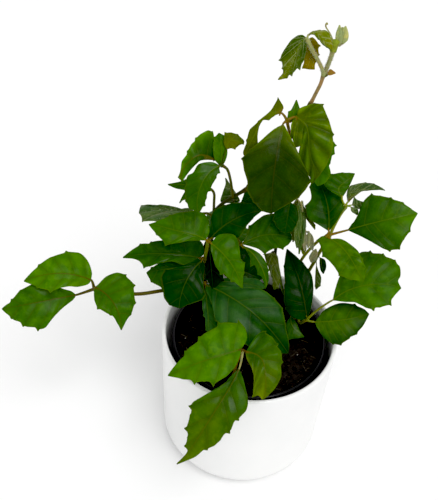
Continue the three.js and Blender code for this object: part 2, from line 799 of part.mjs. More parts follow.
const rightStem = {
  name: "right_stem",
  foot: [30, 33],
  thick: 1.3,
  stretches: [
    {
      thick: 1.3,
      points: [mm(30, 33, 102), at(294, 292, 39), at(302, 281, 38), at(310, 269, 36), at(321, 250, 33), at(329, 238, 31)],
    },
    { thick: 1.1, points: [at(329, 238, 31), at(334, 226, 30), at(340, 215, 28), at(345.5, 207, 26)] },
  ],
  leaves: [
    {
      // big upper right leaf
      petiole: [at(297, 288, 38.2), at(296, 273, 33), at(302, 259, 27), at(317, 242, 16), at(327.2, 235.6, 8)],
      thick: 1,
      leaflets: [
        {
          base: at(348, 230, 9),
          tip: [417.5, 213.5],
          through: [375, 222.5],
          turn: -8,
          margins: [
            "352,224 358,216 363,203 368,197 371.5,193.5* 380,196 391,197.5* 403,202* 411,208.5*",
            "358,235 370,241 382,248.5 390,252.5* 400,250* 404,240 410.5,232* 412,224",
          ],
        },
        {
          base: at(329, 231, 9),
          tip: [315, 174],
          through: [327, 203],
          lean: -12,
          margins: ["318,224.5 308,218 304.5,206* 312,197.5 310,187*", "337,221 345,208* 343,197* 331,188"],
        },
        {
          base: at(330, 239, 7),
          tip: [363, 281],
          through: [351, 256],
          margins: [
            "323,236 316,240.5* 321,248 322,257* 331,263 337,271 338.5,276* 350,280*",
            "341,239 350,244 358,251 363,259* 367,269* 365,276",
          ],
        },
      ],
    },
    {
      // leaf at the end of the right stem
      petiole: [at(344, 209, 26), at(345.5, 206, 23)],
      leaflets: [
        {
          base: at(342, 197, 19),
          tip: [354.5, 173.5],
          lean: -15,
          margins: ["332,193 323,187 319,180* 330,176* 342,173*", "346,192 350,185"],
        },
        {
          base: at(348, 202, 27),
          tip: [385, 190.5],
          through: [363, 189],
          turn: -40,
          margins: ["347,194 352,187 366,183.5* 374,184* 380,187", "354,197 361,191.5 371,190"],
        },
        { base: at(352, 205, 25), tip: [366, 203], margins: ["354,196* 358,200", "356,208 361,209"] },
        { base: at(351, 207, 22), tip: [357, 215], margins: ["351,211 353,213*", "357,208 358.5,212"] },
      ],
    },
    {
      // small hanging leaves
      petiole: [at(317, 257, 34), at(315.6, 256.4, 27.6)],
      thick: 0.7,
      leaflets: [
        { base: at(318, 251, 30), tip: [312.5, 262], margins: ["311,250 309,256", "321,256 317,261"] },
        { base: at(319, 258, 27), tip: [323, 274], margins: ["319,264 321,270", "324,259.5 325.5,266"] },
        { base: at(315.5, 263, 27), tip: [316, 289], margins: ["315.5,270 314.5,280 314.5,286*", "318,268 321,278 320.5,286*"] },
      ],
    },
  ],
};

const lowRightShoot = {
  name: "low_right_shoot",
  foot: [35, 20],
  thick: 1.3,
  stretches: [{ thick: 1.2, points: [mm(35, 20, 102), mm(35.5, 17, 110)] }],
  leaves: [
    {
      petiole: [mm(35.5, 17, 110), at(300, 323, 6), at(306, 320, -4)],
      thick: 1,
      leaflets: [
        {
          base: at(333, 300, -4),
          tip: [401, 288],
          through: [366, 285],
          turn: -6,
          margins: [
            "335,290 340,276 350,262 361,254 370,252* 383,254.5* 395,260.5* 399.5,267 400.5,274.5* 398,281",
            "345,302 356,302.5 366,308 374,311.5* 380,308 391.5,306* 393,298",
          ],
        },
        {
          base: at(315, 322, -6),
          tip: [369, 314],
          through: [342, 320],
          margins: ["318,318 325,309.5 340,303 355,303.5* 364,309", "317,328 324,338 333,345* 341,345.5* 349,339* 357,334.5* 363,326"],
        },
        {
          base: at(307, 318, -3),
          tip: [287, 249],
          through: [301, 287],
          margins: [
            "302,320 292,317 285,309* 283.5,300 284,285* 283.5,266* 285,258",
            "311,308 313.5,290 312,276 309,269* 303,262* 296,256",
          ],
        },
      ],
    },
    {
      petiole: [mm(35.5, 17, 110), at(291, 317, 9)],
      thick: 0.8,
      leaflets: [{ base: at(291, 316, 7), tip: [304, 337], margins: ["286,325 288,340*", "297,324 300,331"] }],
    },
  ],
};

const STEMS = [climbingStem, frontShoot, middleShoot, rightStem, lowRightShoot];

// Pots and soil
function turned(points, sides) {
  const profile = points.map(([r, z]) => new THREE.Vector2(r, z));
  return new THREE.LatheGeometry(profile, sides).rotateX(Math.PI / 2);
}

// The outside rises from the flat foot round the corner and up the wall, and the inside runs back down.
function coverPot() {
  const { rim, foot, height, wall, floor, cornerWide, cornerHigh } = COVER_POT;
  const CORNER_STEPS = 3;
  const LIP_STEPS = 3;
  const outside = [[0, 0]];
  const inside = [];
  for (let i = 0; i <= CORNER_STEPS; i++) {
    const angle = ((Math.PI / 2) * i) / CORNER_STEPS;
    const r = foot - cornerWide * (1 - Math.sin(angle));
    const z = cornerHigh * (1 - Math.cos(angle));
    outside.push([r, z]);
    inside.unshift([r - wall * Math.sin(angle), floor + (z * (cornerHigh - 2)) / cornerHigh]);
  }
  const lip = [];
  for (let i = 0; i <= LIP_STEPS; i++) {
    const angle = (Math.PI * i) / LIP_STEPS;
    lip.push([rim - wall / 2 + (wall / 2) * Math.cos(angle), height - wall / 2 + (wall / 2) * Math.sin(angle)]);
  }
  const sides = 36;
  return solid(turned([...outside, ...lip, ...inside, [0, floor]], sides));
}

// The grower's pot stands on the cover pot's floor. Its rim is a step outwards, rolled over at the top.
function growerWall(z) {
  const { top, foot, height, rimHigh } = GROWER_POT;
  const from = COVER_POT.floor + GAP;
  return THREE.MathUtils.lerp(foot, top, (z - from) / (height - rimHigh));
}

function growerPot() {
  const { rim, height, wall, rimHigh, drainHole } = GROWER_POT;
  const from = COVER_POT.floor + GAP;
  const step = from + height - rimHigh;
  const lip = from + height;
  const profile = [
    [0, from],
    [growerWall(from) - 1, from],
    [growerWall(from), from + 1],
    [growerWall(step), step],
    [rim, step + 0.6],
    [rim, lip - 0.8],
    [rim - 0.8, lip],
    [rim - 1.9, lip],
    [rim - 2.5, lip - 0.8],
    [growerWall(step) - wall, step - 1],
    [growerWall(from) - wall, from + wall + 0.8],
    [growerWall(from) - wall - 1, from + wall],
    [0, from + wall],
  ];
  const HOLES = 4;
  let pot = solid(turned(profile, GROWER_SIDES));
  for (let i = 0; i < HOLES; i++) {
    const angle = ((i + 0.5) * 2 * Math.PI) / HOLES;
    const hole = new THREE.CylinderGeometry(drainHole, drainHole, 4 * wall, 8).rotateX(Math.PI / 2);
    const reach = 0.6 * GROWER_POT.foot;
    pot = pot.subtract(solid(hole.translate(reach * Math.cos(angle), reach * Math.sin(angle), from)));
  }
  return pot;
}

// The soil fills the grower's pot. Its top is a low dome with lumps, and each stem stands in a plain hole.
function soil() {
  const from = COVER_POT.floor + GAP + GROWER_POT.wall + GAP;
  const wallAt = (z) => growerWall(z) - GROWER_POT.wall - GAP;
  const RINGS = [0, 0.28, 0.52, 0.74, 0.9, 1];
  const profile = [[0, from], [wallAt(from) - 1, from], [wallAt(from + 2) - 0.2, from + 2]];
  const top = RINGS.map((share) => [share * (wallAt(SOIL.level) - 0.2), SOIL.level]).reverse();
  const geometry = turned([...profile, ...top], GROWER_SIDES);
  const place = geometry.attributes.position;
  const edge = wallAt(SOIL.level);
  for (let i = 0; i < place.count; i++) {
    if (place.getZ(i) < SOIL.level - 1e-3) continue;
    const [x, y] = [place.getX(i), place.getY(i)];
    const share = Math.min(Math.hypot(x, y) / edge, 1);
    const lump = Math.sin(0.37 * x + 1.3) * Math.cos(0.31 * y) + 0.6 * Math.sin(0.83 * y - 0.52 * x);
    place.setZ(i, SOIL.level + SOIL.dome * (1 - share ** 2) + SOIL.lumps * (1 - share ** 4) * lump);
  }
  let body = solid(geometry);
  for (const stem of STEMS) {
    const [low, high] = footLine(stem);
    const hole = [mm(low.x, low.y, low.z - GAP), mm(high.x, high.y, high.z + 3)];
    body = body.subtract(tube(hole, stem.thick + 2 * GAP, { sides: 8, steps: 1 }));
  }
  return body;
}

const WHITE_GLAZE = new THREE.MeshStandardMaterial({ color: 0xf1f1ee, roughness: 0.3, metalness: 0 });
const BLACK_PLASTIC = new THREE.MeshStandardMaterial({ color: 0x0b0c0d, roughness: 0.35, metalness: 0 });
const SOIL_BROWN = new THREE.MeshStandardMaterial({ color: 0x14100c, roughness: 0.95, metalness: 0 });
const LEAF_GREEN = new THREE.MeshStandardMaterial({ color: 0x2f5e0e, roughness: 0.4, metalness: 0 });

const plant = new THREE.Group();
function add(name, body, material) {
  const mesh = new THREE.Mesh(geometryOf(body), material.clone());
  mesh.name = name;
  plant.add(mesh);
}

add("cover_pot", coverPot(), WHITE_GLAZE);
add("grower_pot", growerPot(), BLACK_PLASTIC);
add("soil", soil(), SOIL_BROWN);
for (const stem of STEMS) {
  const pieces = leafyStem(stem);
  for (const points of stem.tendrils ?? []) pieces.push(tube(points, 0.5, { sides: 5, steps: 12 }));
  add(stem.name, wasm.Manifold.union(pieces), LEAF_GREEN);
}

export default plant;
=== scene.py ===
"""Potted grape ivy: leaves of three toothed leaflets on thin stems, in a black grower's pot in a white pot.

The plant is worked out in millimetres and becomes metres where a mesh is made. The origin is the middle of
the pot's flat base, +X is the right of the photograph and +Y points away from the viewer.
"""

import math

import bmesh
import bpy
import numpy as np
from mathutils import Matrix, Vector


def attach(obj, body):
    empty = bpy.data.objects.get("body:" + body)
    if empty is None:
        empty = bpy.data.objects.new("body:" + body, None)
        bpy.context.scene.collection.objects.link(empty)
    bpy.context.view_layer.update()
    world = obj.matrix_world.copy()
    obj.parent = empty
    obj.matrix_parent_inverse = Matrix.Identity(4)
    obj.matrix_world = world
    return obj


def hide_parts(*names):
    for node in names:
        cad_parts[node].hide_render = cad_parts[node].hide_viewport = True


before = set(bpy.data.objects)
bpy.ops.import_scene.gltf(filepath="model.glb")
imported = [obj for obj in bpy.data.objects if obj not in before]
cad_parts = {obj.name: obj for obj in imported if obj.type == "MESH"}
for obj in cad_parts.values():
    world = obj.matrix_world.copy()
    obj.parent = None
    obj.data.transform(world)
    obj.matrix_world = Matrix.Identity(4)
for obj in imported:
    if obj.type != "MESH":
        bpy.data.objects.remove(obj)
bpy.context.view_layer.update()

MM = 0.001
SEED = 7
COVER_POT = dict(rim=62.5, foot=60, height=114, wall=3, floor=4, corner_wide=22, corner_high=17.5, sides=144)
GROWER_POT = dict(rim=55, top=52, foot=37.5, height=104.5, wall=1.1, rim_high=9, sides=120)
SOIL = dict(level=101, dome=1.5, lumps=0.8, off_wall=0.1, off_wall_below=0.2, rings=90, sides=220)
STEM_FOOT_DEPTH = 28
# Pieces that rest on each other keep this far apart.
GAP = 0.3
GROWER_START = COVER_POT["floor"] + GAP

# The photograph's viewpoint, in millimetres. A place on a stem or a leaf is a pixel of the photograph and a
# depth, which is the place's y.
FOCAL_PX = 800
MIDDLE_PX = np.array([219.0, 250.0])
ELEVATION = math.radians(43.6)
ROLL = math.radians(-4.2)
DISTANCE = 570
ASIDE = -26
ABOVE = 55.5
FORWARD = np.array([0, math.cos(ELEVATION), -math.sin(ELEVATION)])
LEVEL = np.array([1.0, 0, 0])
UPRIGHT = np.array([0, math.sin(ELEVATION), math.cos(ELEVATION)])
EYE = np.array([0, 0, COVER_POT["height"]]) - DISTANCE * FORWARD + ASIDE * LEVEL + ABOVE * UPRIGHT
ACROSS = math.cos(ROLL) * LEVEL - math.sin(ROLL) * UPRIGHT
UPWARD = math.sin(ROLL) * LEVEL + math.cos(ROLL) * UPRIGHT
SENSOR_MM = 36
PHOTO_HEIGHT_PX = 500


def unit(vectors):
    """One vector, or each row of several, at length 1."""
    return vectors / np.linalg.norm(vectors, axis=-1, keepdims=True)


def sight(px, py):
    """The viewer's ray through a pixel."""
    return FORWARD + ACROSS * (px - MIDDLE_PX[0]) / FOCAL_PX + UPWARD * (MIDDLE_PX[1] - py) / FOCAL_PX


def at(px, py, depth):
    """The point seen at a pixel whose y is depth."""
    ray = sight(px, py)
    return EYE + ray * (depth - EYE[1]) / ray[1]


def mm(x, y, z):
    """A place given straight in millimetres."""
    return np.array([x, y, z], float)


def seen_on_plane(px, py, point, normal):
    """Where the viewer's ray through a pixel meets the plane through point, square to normal."""
    ray = sight(px, py)
    return EYE + ray * ((point - EYE) @ normal) / (ray @ normal)


# The plant


def blade(base, tip, *margins, **form):
    """A leaflet from its base to the pixel of its tip. Each margin's pixels run from base to tip, and a star
    marks a tooth. Without margins it has the plain outline, and its tip is a place. Its form may hold:

    through: a pixel of the midrib, and slack: how far the midrib keeps off the margins
    face: "up" for one that lies flat, and wide: its width in millimetres
    turn: degrees about the midrib, and lean: degrees by which the tip comes towards the viewer
    arch: the midrib's rise as a share of its length, and fold: degrees by which both halves lift
    lead: how far forward side veins run, and pleat: how high the quilting is in millimetres
    spurs: how large its teeth are
    tone: its green, with near, to, left and right for the greens at its base, tip and sides, which on some
    leaflets are painted light and shade
    valley: how dark the painted shade in the quilting's hollows is
    faint and ruddy: how weak and how brown its veins are, and bark: its stalk's tone
    """
    return dict(base=base, tip=tip, margins=margins, **form)


def leaf(tone, petiole, *blades, thick=0.9, ruddy=0.0, bark="olive", hub="russet"):
    """A leaf with its petiole's points. Thick is the petiole's radius, bark its tone, and hub the tone of
    the leaflets' stalks."""
    return dict(tone=tone, petiole=petiole, blades=blades, thick=thick, ruddy=ruddy, bark=bark, hub=hub)


def stem(name, foot, thick, stretches, leaves, tendrils=()):
    """A leafy stem. A stretch of it between two joints is a thickness, a bark tone and its points."""
    return dict(name=name, foot=foot, thick=thick, stretches=stretches, leaves=leaves, tendrils=tendrils)


CLIMBING_STEM = stem(
    "climbing_stem",
    foot=(-27, 26),
    thick=1.5,
    stretches=[
        (1.5, "dark", [
            mm(-27, 26, 102), at(207, 298, 20), at(205, 281, 14),
            at(205, 260, 14), at(209, 240, 15),
        ]),
        (1.25, "dark", [
            at(209, 240, 15), at(213.5, 214, 23), at(222, 204, 23),
            at(233, 197, 21), at(246, 189.5, 19),
        ]),
        (1.25, "olive", [
            at(246, 189.5, 19), at(270, 169, 21), at(291, 137, 26),
            at(303, 115, 27), at(311, 103, 27),
        ]),
        (1.15, "tan", [at(311, 103, 27), at(316, 93, 26), at(320.5, 84, 25), at(323.5, 75, 25)]),
        (1.3, "downy", [at(323.5, 75, 25), at(327.5, 66, 25), at(331, 57, 25), at(333.5, 49, 26)]),
        (1.75, "lime", [at(333, 51, 26), at(334.5, 46, 26), at(336, 41, 26)]),
    ],
    tendrils=[
        [
            at(334, 50, 26), at(332, 38, 28), at(330, 33.5, 28),
            at(327.8, 30, 28), at(326, 27, 28), at(326, 24.2, 28), at(327.4, 23.4, 28),
        ],
    ],
    leaves=[
        # far left leaf
        leaf(
            "fresh",
            [at(204, 284, 14), at(185, 288, 8), at(163, 290.5, 0), at(136, 294, -6), at(94, 289, -10)],
            blade(
                at(91, 280, -9), (24, 281),
                "92,274 90,266 86,259 79,253.5 66,251.5* 50,258 38.5,264.5*",
                "88,284.5 78,287 66,287 50,293* 37,288*",
                through=(57, 273.5), turn=14, tone="bright", spurs=0.6, faint=0.2,
            ),
            blade(
                at(76, 295, -12), (2, 309),
                "71,291 64,289 50,284 33,279* 20,290 11,299*",
                "73,300 62,308.5 52,319 45,328 38,331.5* 23,327* 11,319*",
                through=(39, 302),
            ),
            blade(
                at(95, 287, -12), (121.5, 330),
                "94,293 94.5,301 97,309.5* 110,315.5* 117,323",
                "99,284 106,277 117,273.5 127,275.5* 136,286.5* 134.5,292 136.5,303.5* 131.5,315* 127,320",
                through=(113, 302), lean=8, spurs=0.7,
            ),
            thick=1.35,
            ruddy=0.9,
            bark="ruddy",
            hub="ruddy",
        ),
        # large dark leaf low in the middle
        leaf(
            "deep",
            [at(204, 284, 14), at(205, 282, 8)],
            # Its green darkens towards the tip as painted shade.
            blade(
                at(206, 284.5, 6), (288, 353),
                "212,284.5 222,286.5 240,287 262,289.5 275,298* 283,308* 286,325* 289,344",
                "206,291 210,299 213,309 215,321* 228,334* 250,348* 272,353",
                through=(247, 308), to="dark", spurs=0.25,
            ),
            blade(
                at(208, 282, 10), (266, 288),
                "212,279.5 228,278 246,275.5* 258,279",
                "214,288 232,293 250,293*",
                turn=-30,
            ),
            blade(
                at(206, 287, 10), (211, 345),
                "203,296 202,306 203,316* 205.5,330*",
                "214,297 219,312* 218,330*",
                turn=15,
            ),
        ),
        # dark left leaf
        leaf(
            "mid",
            [at(205, 262, 14), at(202.5, 258, 9)],
            blade(
                at(199, 258, 10), (123, 257.5),
                "203.5,255 203.5,246 199,240 190,238 180,236 165,238* 151,241.5* 140,243.5*",
                "196,262 184,265 172,261.5 160,263 150,266.5 143.5,268.5* 137,260",
                through=(160, 253.5), turn=18, spurs=0.7, faint=0.4,
            ),
            blade(
                at(189, 264, 15), (146.5, 273),
                "180,260 165,260 151,267*",
                "185,283 175,292 163,291* 151,282.5*",
                turn=10,
            ),
            blade(
                at(202, 260, 4), (179, 308.5),
                "197,259 190,262 178,267 164,270* 161,277 162,285* 164,297 169,305*",
                "204.5,266 203.5,280 204,289 206,295* 202,300 190,304.5*",
                through=(189, 276), tone="dark", spurs=0.3, faint=0.3,
            ),
        ),
        # bright left leaf
        leaf(
            "fresh",
            [at(204, 260, 14), at(206, 252, 7), at(208, 241, 0)],
            blade(
                at(206, 240, -1), (149, 224.5),
                "209,233 209,226 206.5,217 202,213 195,210* 180,212.5 170,215* 158,221",
                "200,240.5 190,240.5 178,243 165,246* 160,238 156,235*",
                through=(176, 230), turn=8, spurs=0.5,
            ),
            blade(
                at(211, 243, -4), (242.5, 288),
                "211,250 213,258 216,267 220,275* 226,276.5 231,282* 236,283.5",
                "217,236 223,234 233,234.5 238,241 240,252 242,260* 245,262 244.5,273* 243,281",
                through=(230, 262),
            ),
            blade(
                at(210, 239, 4), (261, 211),
                "209,229 211,218 215,210 224,205* 233,203 242,202* 252,204",
                "216,237 230,237 239,238 246,228.5* 253,219*",
                through=(233, 220), turn=-12, tone="old", spurs=0.35, faint=0.3,
            ),
            thick=1.2,
            bark="green",
        ),
        # middle leaf
        leaf(
            "mid",
            [at(213.5, 214, 23), at(225, 224, 15), at(235, 235, 8), at(241, 245, 3)],
            blade(
                at(242, 244, 2), (292, 239),
                "246,238 249,230 248,225.5* 262,216.5 275,214* 287,224*",
                "252,247 258,249 265,255* 275,248.5 283,250* 288,245",
                through=(268, 234.5), lean=-20, turn=-10, tone="mid", spurs=0.5, faint=0.3,
            ),
            blade(
                at(242, 246, 2), (266, 287.5),
                "247,251 250,258 250.5,266.5* 255,266 257.5,275* 262,278",
                "252,249 260,254 266,262 269.5,270* 269,279",
                through=(259, 262), tone="mid", spurs=1.2, faint=-0.3,
            ),
        ),
        # grey-green leaf seen edge on, behind; its grey tone and silvery veins are a painted sheen
        leaf(
            "grey",
            [at(213.5, 217, 22), at(208, 213.5, 25), at(200, 214, 27)],
            blade(
                at(196, 215, 27), (139, 213.5),
                "190,210 177,209* 168,206 155,205.5 141,206.5*",
                "190,222 170,227 150,226 142,223.5*",
                turn=62, lead=3.5, pleat=1.0,
            ),
        ),
        # leaf whose tips show behind the drooping one
        leaf(
            "fresh",
            [at(213.5, 214, 23), at(214, 203, 22), at(213.5, 192, 19), at(206, 186, 15)],
            blade(
                at(203, 185, 15), (168, 184.5),
                "195,176 186,179 180,181.5",
                "196,194 186,190.5 176,188.5",
            ),
            blade(at(201, 189, 16), (179.5, 203), "190,187 184,193", "192,200 184,200"),
        ),
        # drooping upper left leaf
        leaf(
            "mid",
            [at(233, 197, 21), at(232, 190, 17), at(230, 178, 10), at(227, 169, 6), at(222.5, 165.5, 4)],
            blade(
                at(220, 165.5, 1), (199, 212),
                "212,162 199,164 193.4,172.3 187.8,175.4 184.6,180.4* 184.3,188.5 185,201* 189,208",
                "219,168 220.3,173* 216.5,178 214,182 211,191* 207,198 205.5,206*",
                through=(203, 181), tone="mid", faint=0.3,
            ),
            # Painted light and shade: dark in its hollow, bright towards its upturned outer margin and its
            # tip.
            blade(
                at(215, 160, 5), (182, 181.6),
                "215,147 212.8,131* 208,130.6 200,134.8 195.3,138* "
                "191.5,144 187,151* 182,161 180.6,170 177.8,177.3*",
                "207,159.8 200.3,160.8 196.5,164 192,168.5 186,176",
                through=(200, 156.5), arch=0.14, slack=0.12,
                tone="dark", right="bright", to="bright", ruddy=0.6,
            ),
            blade(
                at(221, 167, 4), (219, 133),
                "214.5,159 213,147 213.5,137*",
                "226.5,158 227.5,147 226.5,138",
                turn=30, tone="fresh", pleat=0.6,
            ),
            blade(
                at(226.5, 149, 9), (244, 144),
                "223.5,142 224.6,132* 231,132.5 237.8,134* 244,140.4",
                "231.5,148.2 235.3,149.8* 240.3,144.8",
                through=(230, 140), tone="olive", lead=3.0, pleat=0.8,
            ),
            hub="leafy",
        ),
        # young leaflet under it
        leaf(
            "grey",
            [at(232, 197.5, 21), at(234, 203, 25)],
            blade(at(234, 203, 26), (225.5, 178), "221,202 222.5,193 225.5,184", "240,201 236,193 230,184"),
            thick=0.7,
        ),
        # top leaf with the big dark leaflet
        leaf(
            "mid",
            [at(291, 137, 26), at(288.5, 128, 20), at(287, 120.5, 17)],
            blade(
                at(281, 113, 15), (249, 160),
                "283.5,107 278,97* 271,110 258,121* 250,129 246,140* 243,153",
                "275,115.5 269,120.5* 262,121 257,131 258,144*",
                through=(262, 124), lean=-15, tone="olive",
            ),
            # The paler green at its base is a painted highlight.
            blade(
                at(283, 124, 15), (271, 213.5),
                "281,127.5 275,128.5 268,134 258,143 249,150* 241,158.5* "
                "244,170 247.5,183* 247,190 253,202* 262,210.5",
                "288,132 297,150 303,163 309,174* 311.5,182* 306,189 299,198* 292,202 280,208.5",
                through=(275, 165), pleat=0.3, spurs=0.3,
                tone="umber", near="sunny", ruddy=0.8, faint=0.6,
            ),
            # The paler green at its base is a painted highlight, and its pleats' hollows carry strong
            # painted shade.
            blade(
                at(296, 117, 19), (312, 184),
                "291,124 290,137* 295,147 302,145.5 302,151* 298,155 304,166 309,176*",
                "300,108 315,102.5* 324,103.5* 329,120 334,134* 333,141 331,153 326,165 320,175*",
                through=(311, 150), lean=-6, pleat=1.7, lead=3.4, spurs=0.5,
                tone="warm", near="sunny", valley=0.8,
            ),
            blade(
                at(291, 122, 20), (296.5, 100),
                "287,119 288,111.5* 292,108",
                "303,118 300,109",
                lean=-10, tone="bright",
            ),
            thick=1.05,
            bark="russet",
        ),
        # bright leaflet behind it
        leaf(
            "fresh",
            [at(303, 115, 27), at(314, 126, 28), at(321, 136, 28)],
            blade(
                at(322, 138, 28), (318, 186),
                "316,150 315,165* 312,177",
                "333,141 337,145.5* 335,154* 330.5,163.5* 331,173 326,182",
            ),
        ),
        # folded young leaf at the tip
        leaf(
            "young",
            [
                at(323.5, 75, 25), at(322.3, 69.5, 23), at(317.3, 59, 20),
                at(311.3, 48.5, 17), at(307.3, 40, 17),
            ],
            blade(
                at(306, 38, 18), (278.2, 79.7),
                "303,35 298.4,35.2 294.6,37.4 290.7,40.8 285,48.6 281,55.8 "
                "278.4,60.5* 281.5,61.5 282.3,65 281.5,68.6* 283,70.5 282,75",
                "305.7,46 305.5,54 303,62 300,70.5* 297.3,68.5 "
                "294.6,71.5 291.8,76.6* 289.5,75 287.3,78.5* 283,79",
                through=(291, 54), fold=-8, pleat=1.1, lead=4.6, tone="sappy", to="young",
            ),
            blade(
                at(307, 40, 24), (314.3, 69.4),
                "305.5,50 304,60 301.8,68.3* 307,69",
                "312,37 316,40 321,45.5* 318.4,48 318.7,52 320,54.7* 318,57 317,61* 315,65",
                fold=-5, pleat=0.8, lead=3.0, lean=-14, tone="bronze",
            ),
            blade(
                at(308.4, 34.7, 20), (332, 51),
                "312,31.3 320,29.7* 325.7,30.2 329.6,34 331.8,39* 333,46",
                "314,34.7 318,39.7* 321,43 324,45.8 326.2,47.7*",
                through=(322, 37), pleat=0.7, lead=2.6, tone="young", right="grey",
            ),
            thick=1.1,
            bark="sprout",
            hub="sprout",
        ),
        # bud, with a scale on each side, and the stipule
        leaf(
            "wool",
            [at(333, 52, 25), at(336, 44, 26)],
            blade(
                at(338.5, 46, 26), (339.6, 25),
                "335.5,42 335.7,34 337.3,29",
                "342.5,40 342.5,33 341.5,29",
                pleat=0.9, lead=3.5,
            ),
            blade(
                at(342, 44.5, 27), (345.7, 26),
                "341,38 341.5,31",
                "347.3,41 348.7,36 348,31",
                pleat=0.9, lead=3.5,
            ),
            blade(at(340, 46, 29), (342.5, 27), "337,40 338,31", "347,39 347,31", fold=0),
            bark="sprout",
            hub="downy",
        ),
        # dark leaflets in the shade between the left and the middle leaves
        leaf(
            "old",
            [at(205, 270, 14), at(210, 264, 24), at(216, 262, 30)],
            blade(
                at(222, 262, 32), (262, 279),
                "226,250 238,243 252,250* 260,264*",
                "224,275 236,284* 250,284*",
            ),
            blade(
                at(208.5, 237, 27), (213, 289),
                "203.5,246 204.5,262 204,279*",
                "216,243 222,262 225,281*",
                tone="shaded",
            ),
        ),
        # leaf at the back, behind the left leaves
        leaf(
            "mid",
            [at(205, 262, 14), mm(-32, 40, 138), mm(-32, 60, 142), mm(-30, 72, 138)],
            blade(mm(-35, 74, 137), mm(-64, 88, 124), face="up", wide=24),
            blade(mm(-30, 79, 137), mm(-27, 112, 128), face="up", wide=22),
            blade(mm(-25, 73, 137), mm(6, 85, 126), face="up", wide=21),
        ),
        # leaf at the back, behind the big dark leaflet
        leaf(
            "mid",
            [at(262, 177, 20.5), mm(4, 40, 203), mm(7, 54, 200)],
            blade(mm(10, 60, 200), mm(12, 88, 190), face="up", wide=15),
            blade(mm(12, 55, 200), mm(29, 69, 191), face="up", wide=13),
        ),
        # leaflet whose margin shows below the big dark leaflet
        leaf(
            "mid",
            [at(257, 182, 20), at(264, 185, 26)],
            blade(
                at(267, 187, 28), (241, 203),
                "262,180 250,182 244.5,187.5* 243,197",
                "270,200 266,210 258,209 249,206*",
                lean=-25,
            ),
        ),
        # brown scale at the upper joint
        leaf(
            "mid",
            [at(323.5, 76, 25), at(327, 74, 25)],
            blade(at(326, 74, 25), (335.5, 73), "328,71 330.5,69", "330,75.5", tone="scale"),
        ),
    ],
)

FRONT_SHOOT = stem(
    "front_shoot",
    foot=(-9, -36),
    thick=1.2,
    stretches=[
        (1.2, "russet", [mm(-9, -36, 102), mm(-9.5, -38, 112)]),
    ],
    leaves=[
        # bright leaf that hangs over the rim
        leaf(
            "bright",
            [mm(-9.5, -38, 112), mm(-9, -43, 130), at(243, 350.5, -48)],
            blade(
                at(241, 349.5, -48), (168, 375.5),
                "244,345 247,338 245,328 238.5,320* 218,322.5* 198.5,337* 184.5,351*",
                "240,356 235,367 226,377 213.5,387* 205,382 194.5,385* 183,379.5",
                through=(205, 360.5), turn=8, tone="bright", faint=0.3,
            ),
            blade(
                at(239, 369, -54), (177, 464),
                "230,377 222,386 205,395 193,402 188,406* 189.5,415 184,428.5* 187,437 184,446* 187,452",
                "243,378 245.5,388 248,401 246,411 239,421* 230,434* 221,440 214,446 207.5,450.5* 195,457",
                through=(213, 415), lean=-8, tone="mid", to="sunny", bark="sprout",
            ),
            # Paler and yellower towards its right side and tip: partly its own colour, partly a painted
            # sheen.
            blade(
                at(246, 351.5, -49), (263, 399.5),
                "247,359 252,369 254,380 253,390 252,397.5* 258,395.5",
                "250,345 256,336 262,331.5 266,331* 272,337 278,344* "
                "281,352 283,362* 281,376 275,388 268,396*",
                through=(268, 373), tone="mid", right="sunny", to="sunny", pleat=0.9, lead=2.6,
            ),
            thick=1,
            ruddy=0.5,
            bark="russet",
            hub="brown",
        ),
    ],
)

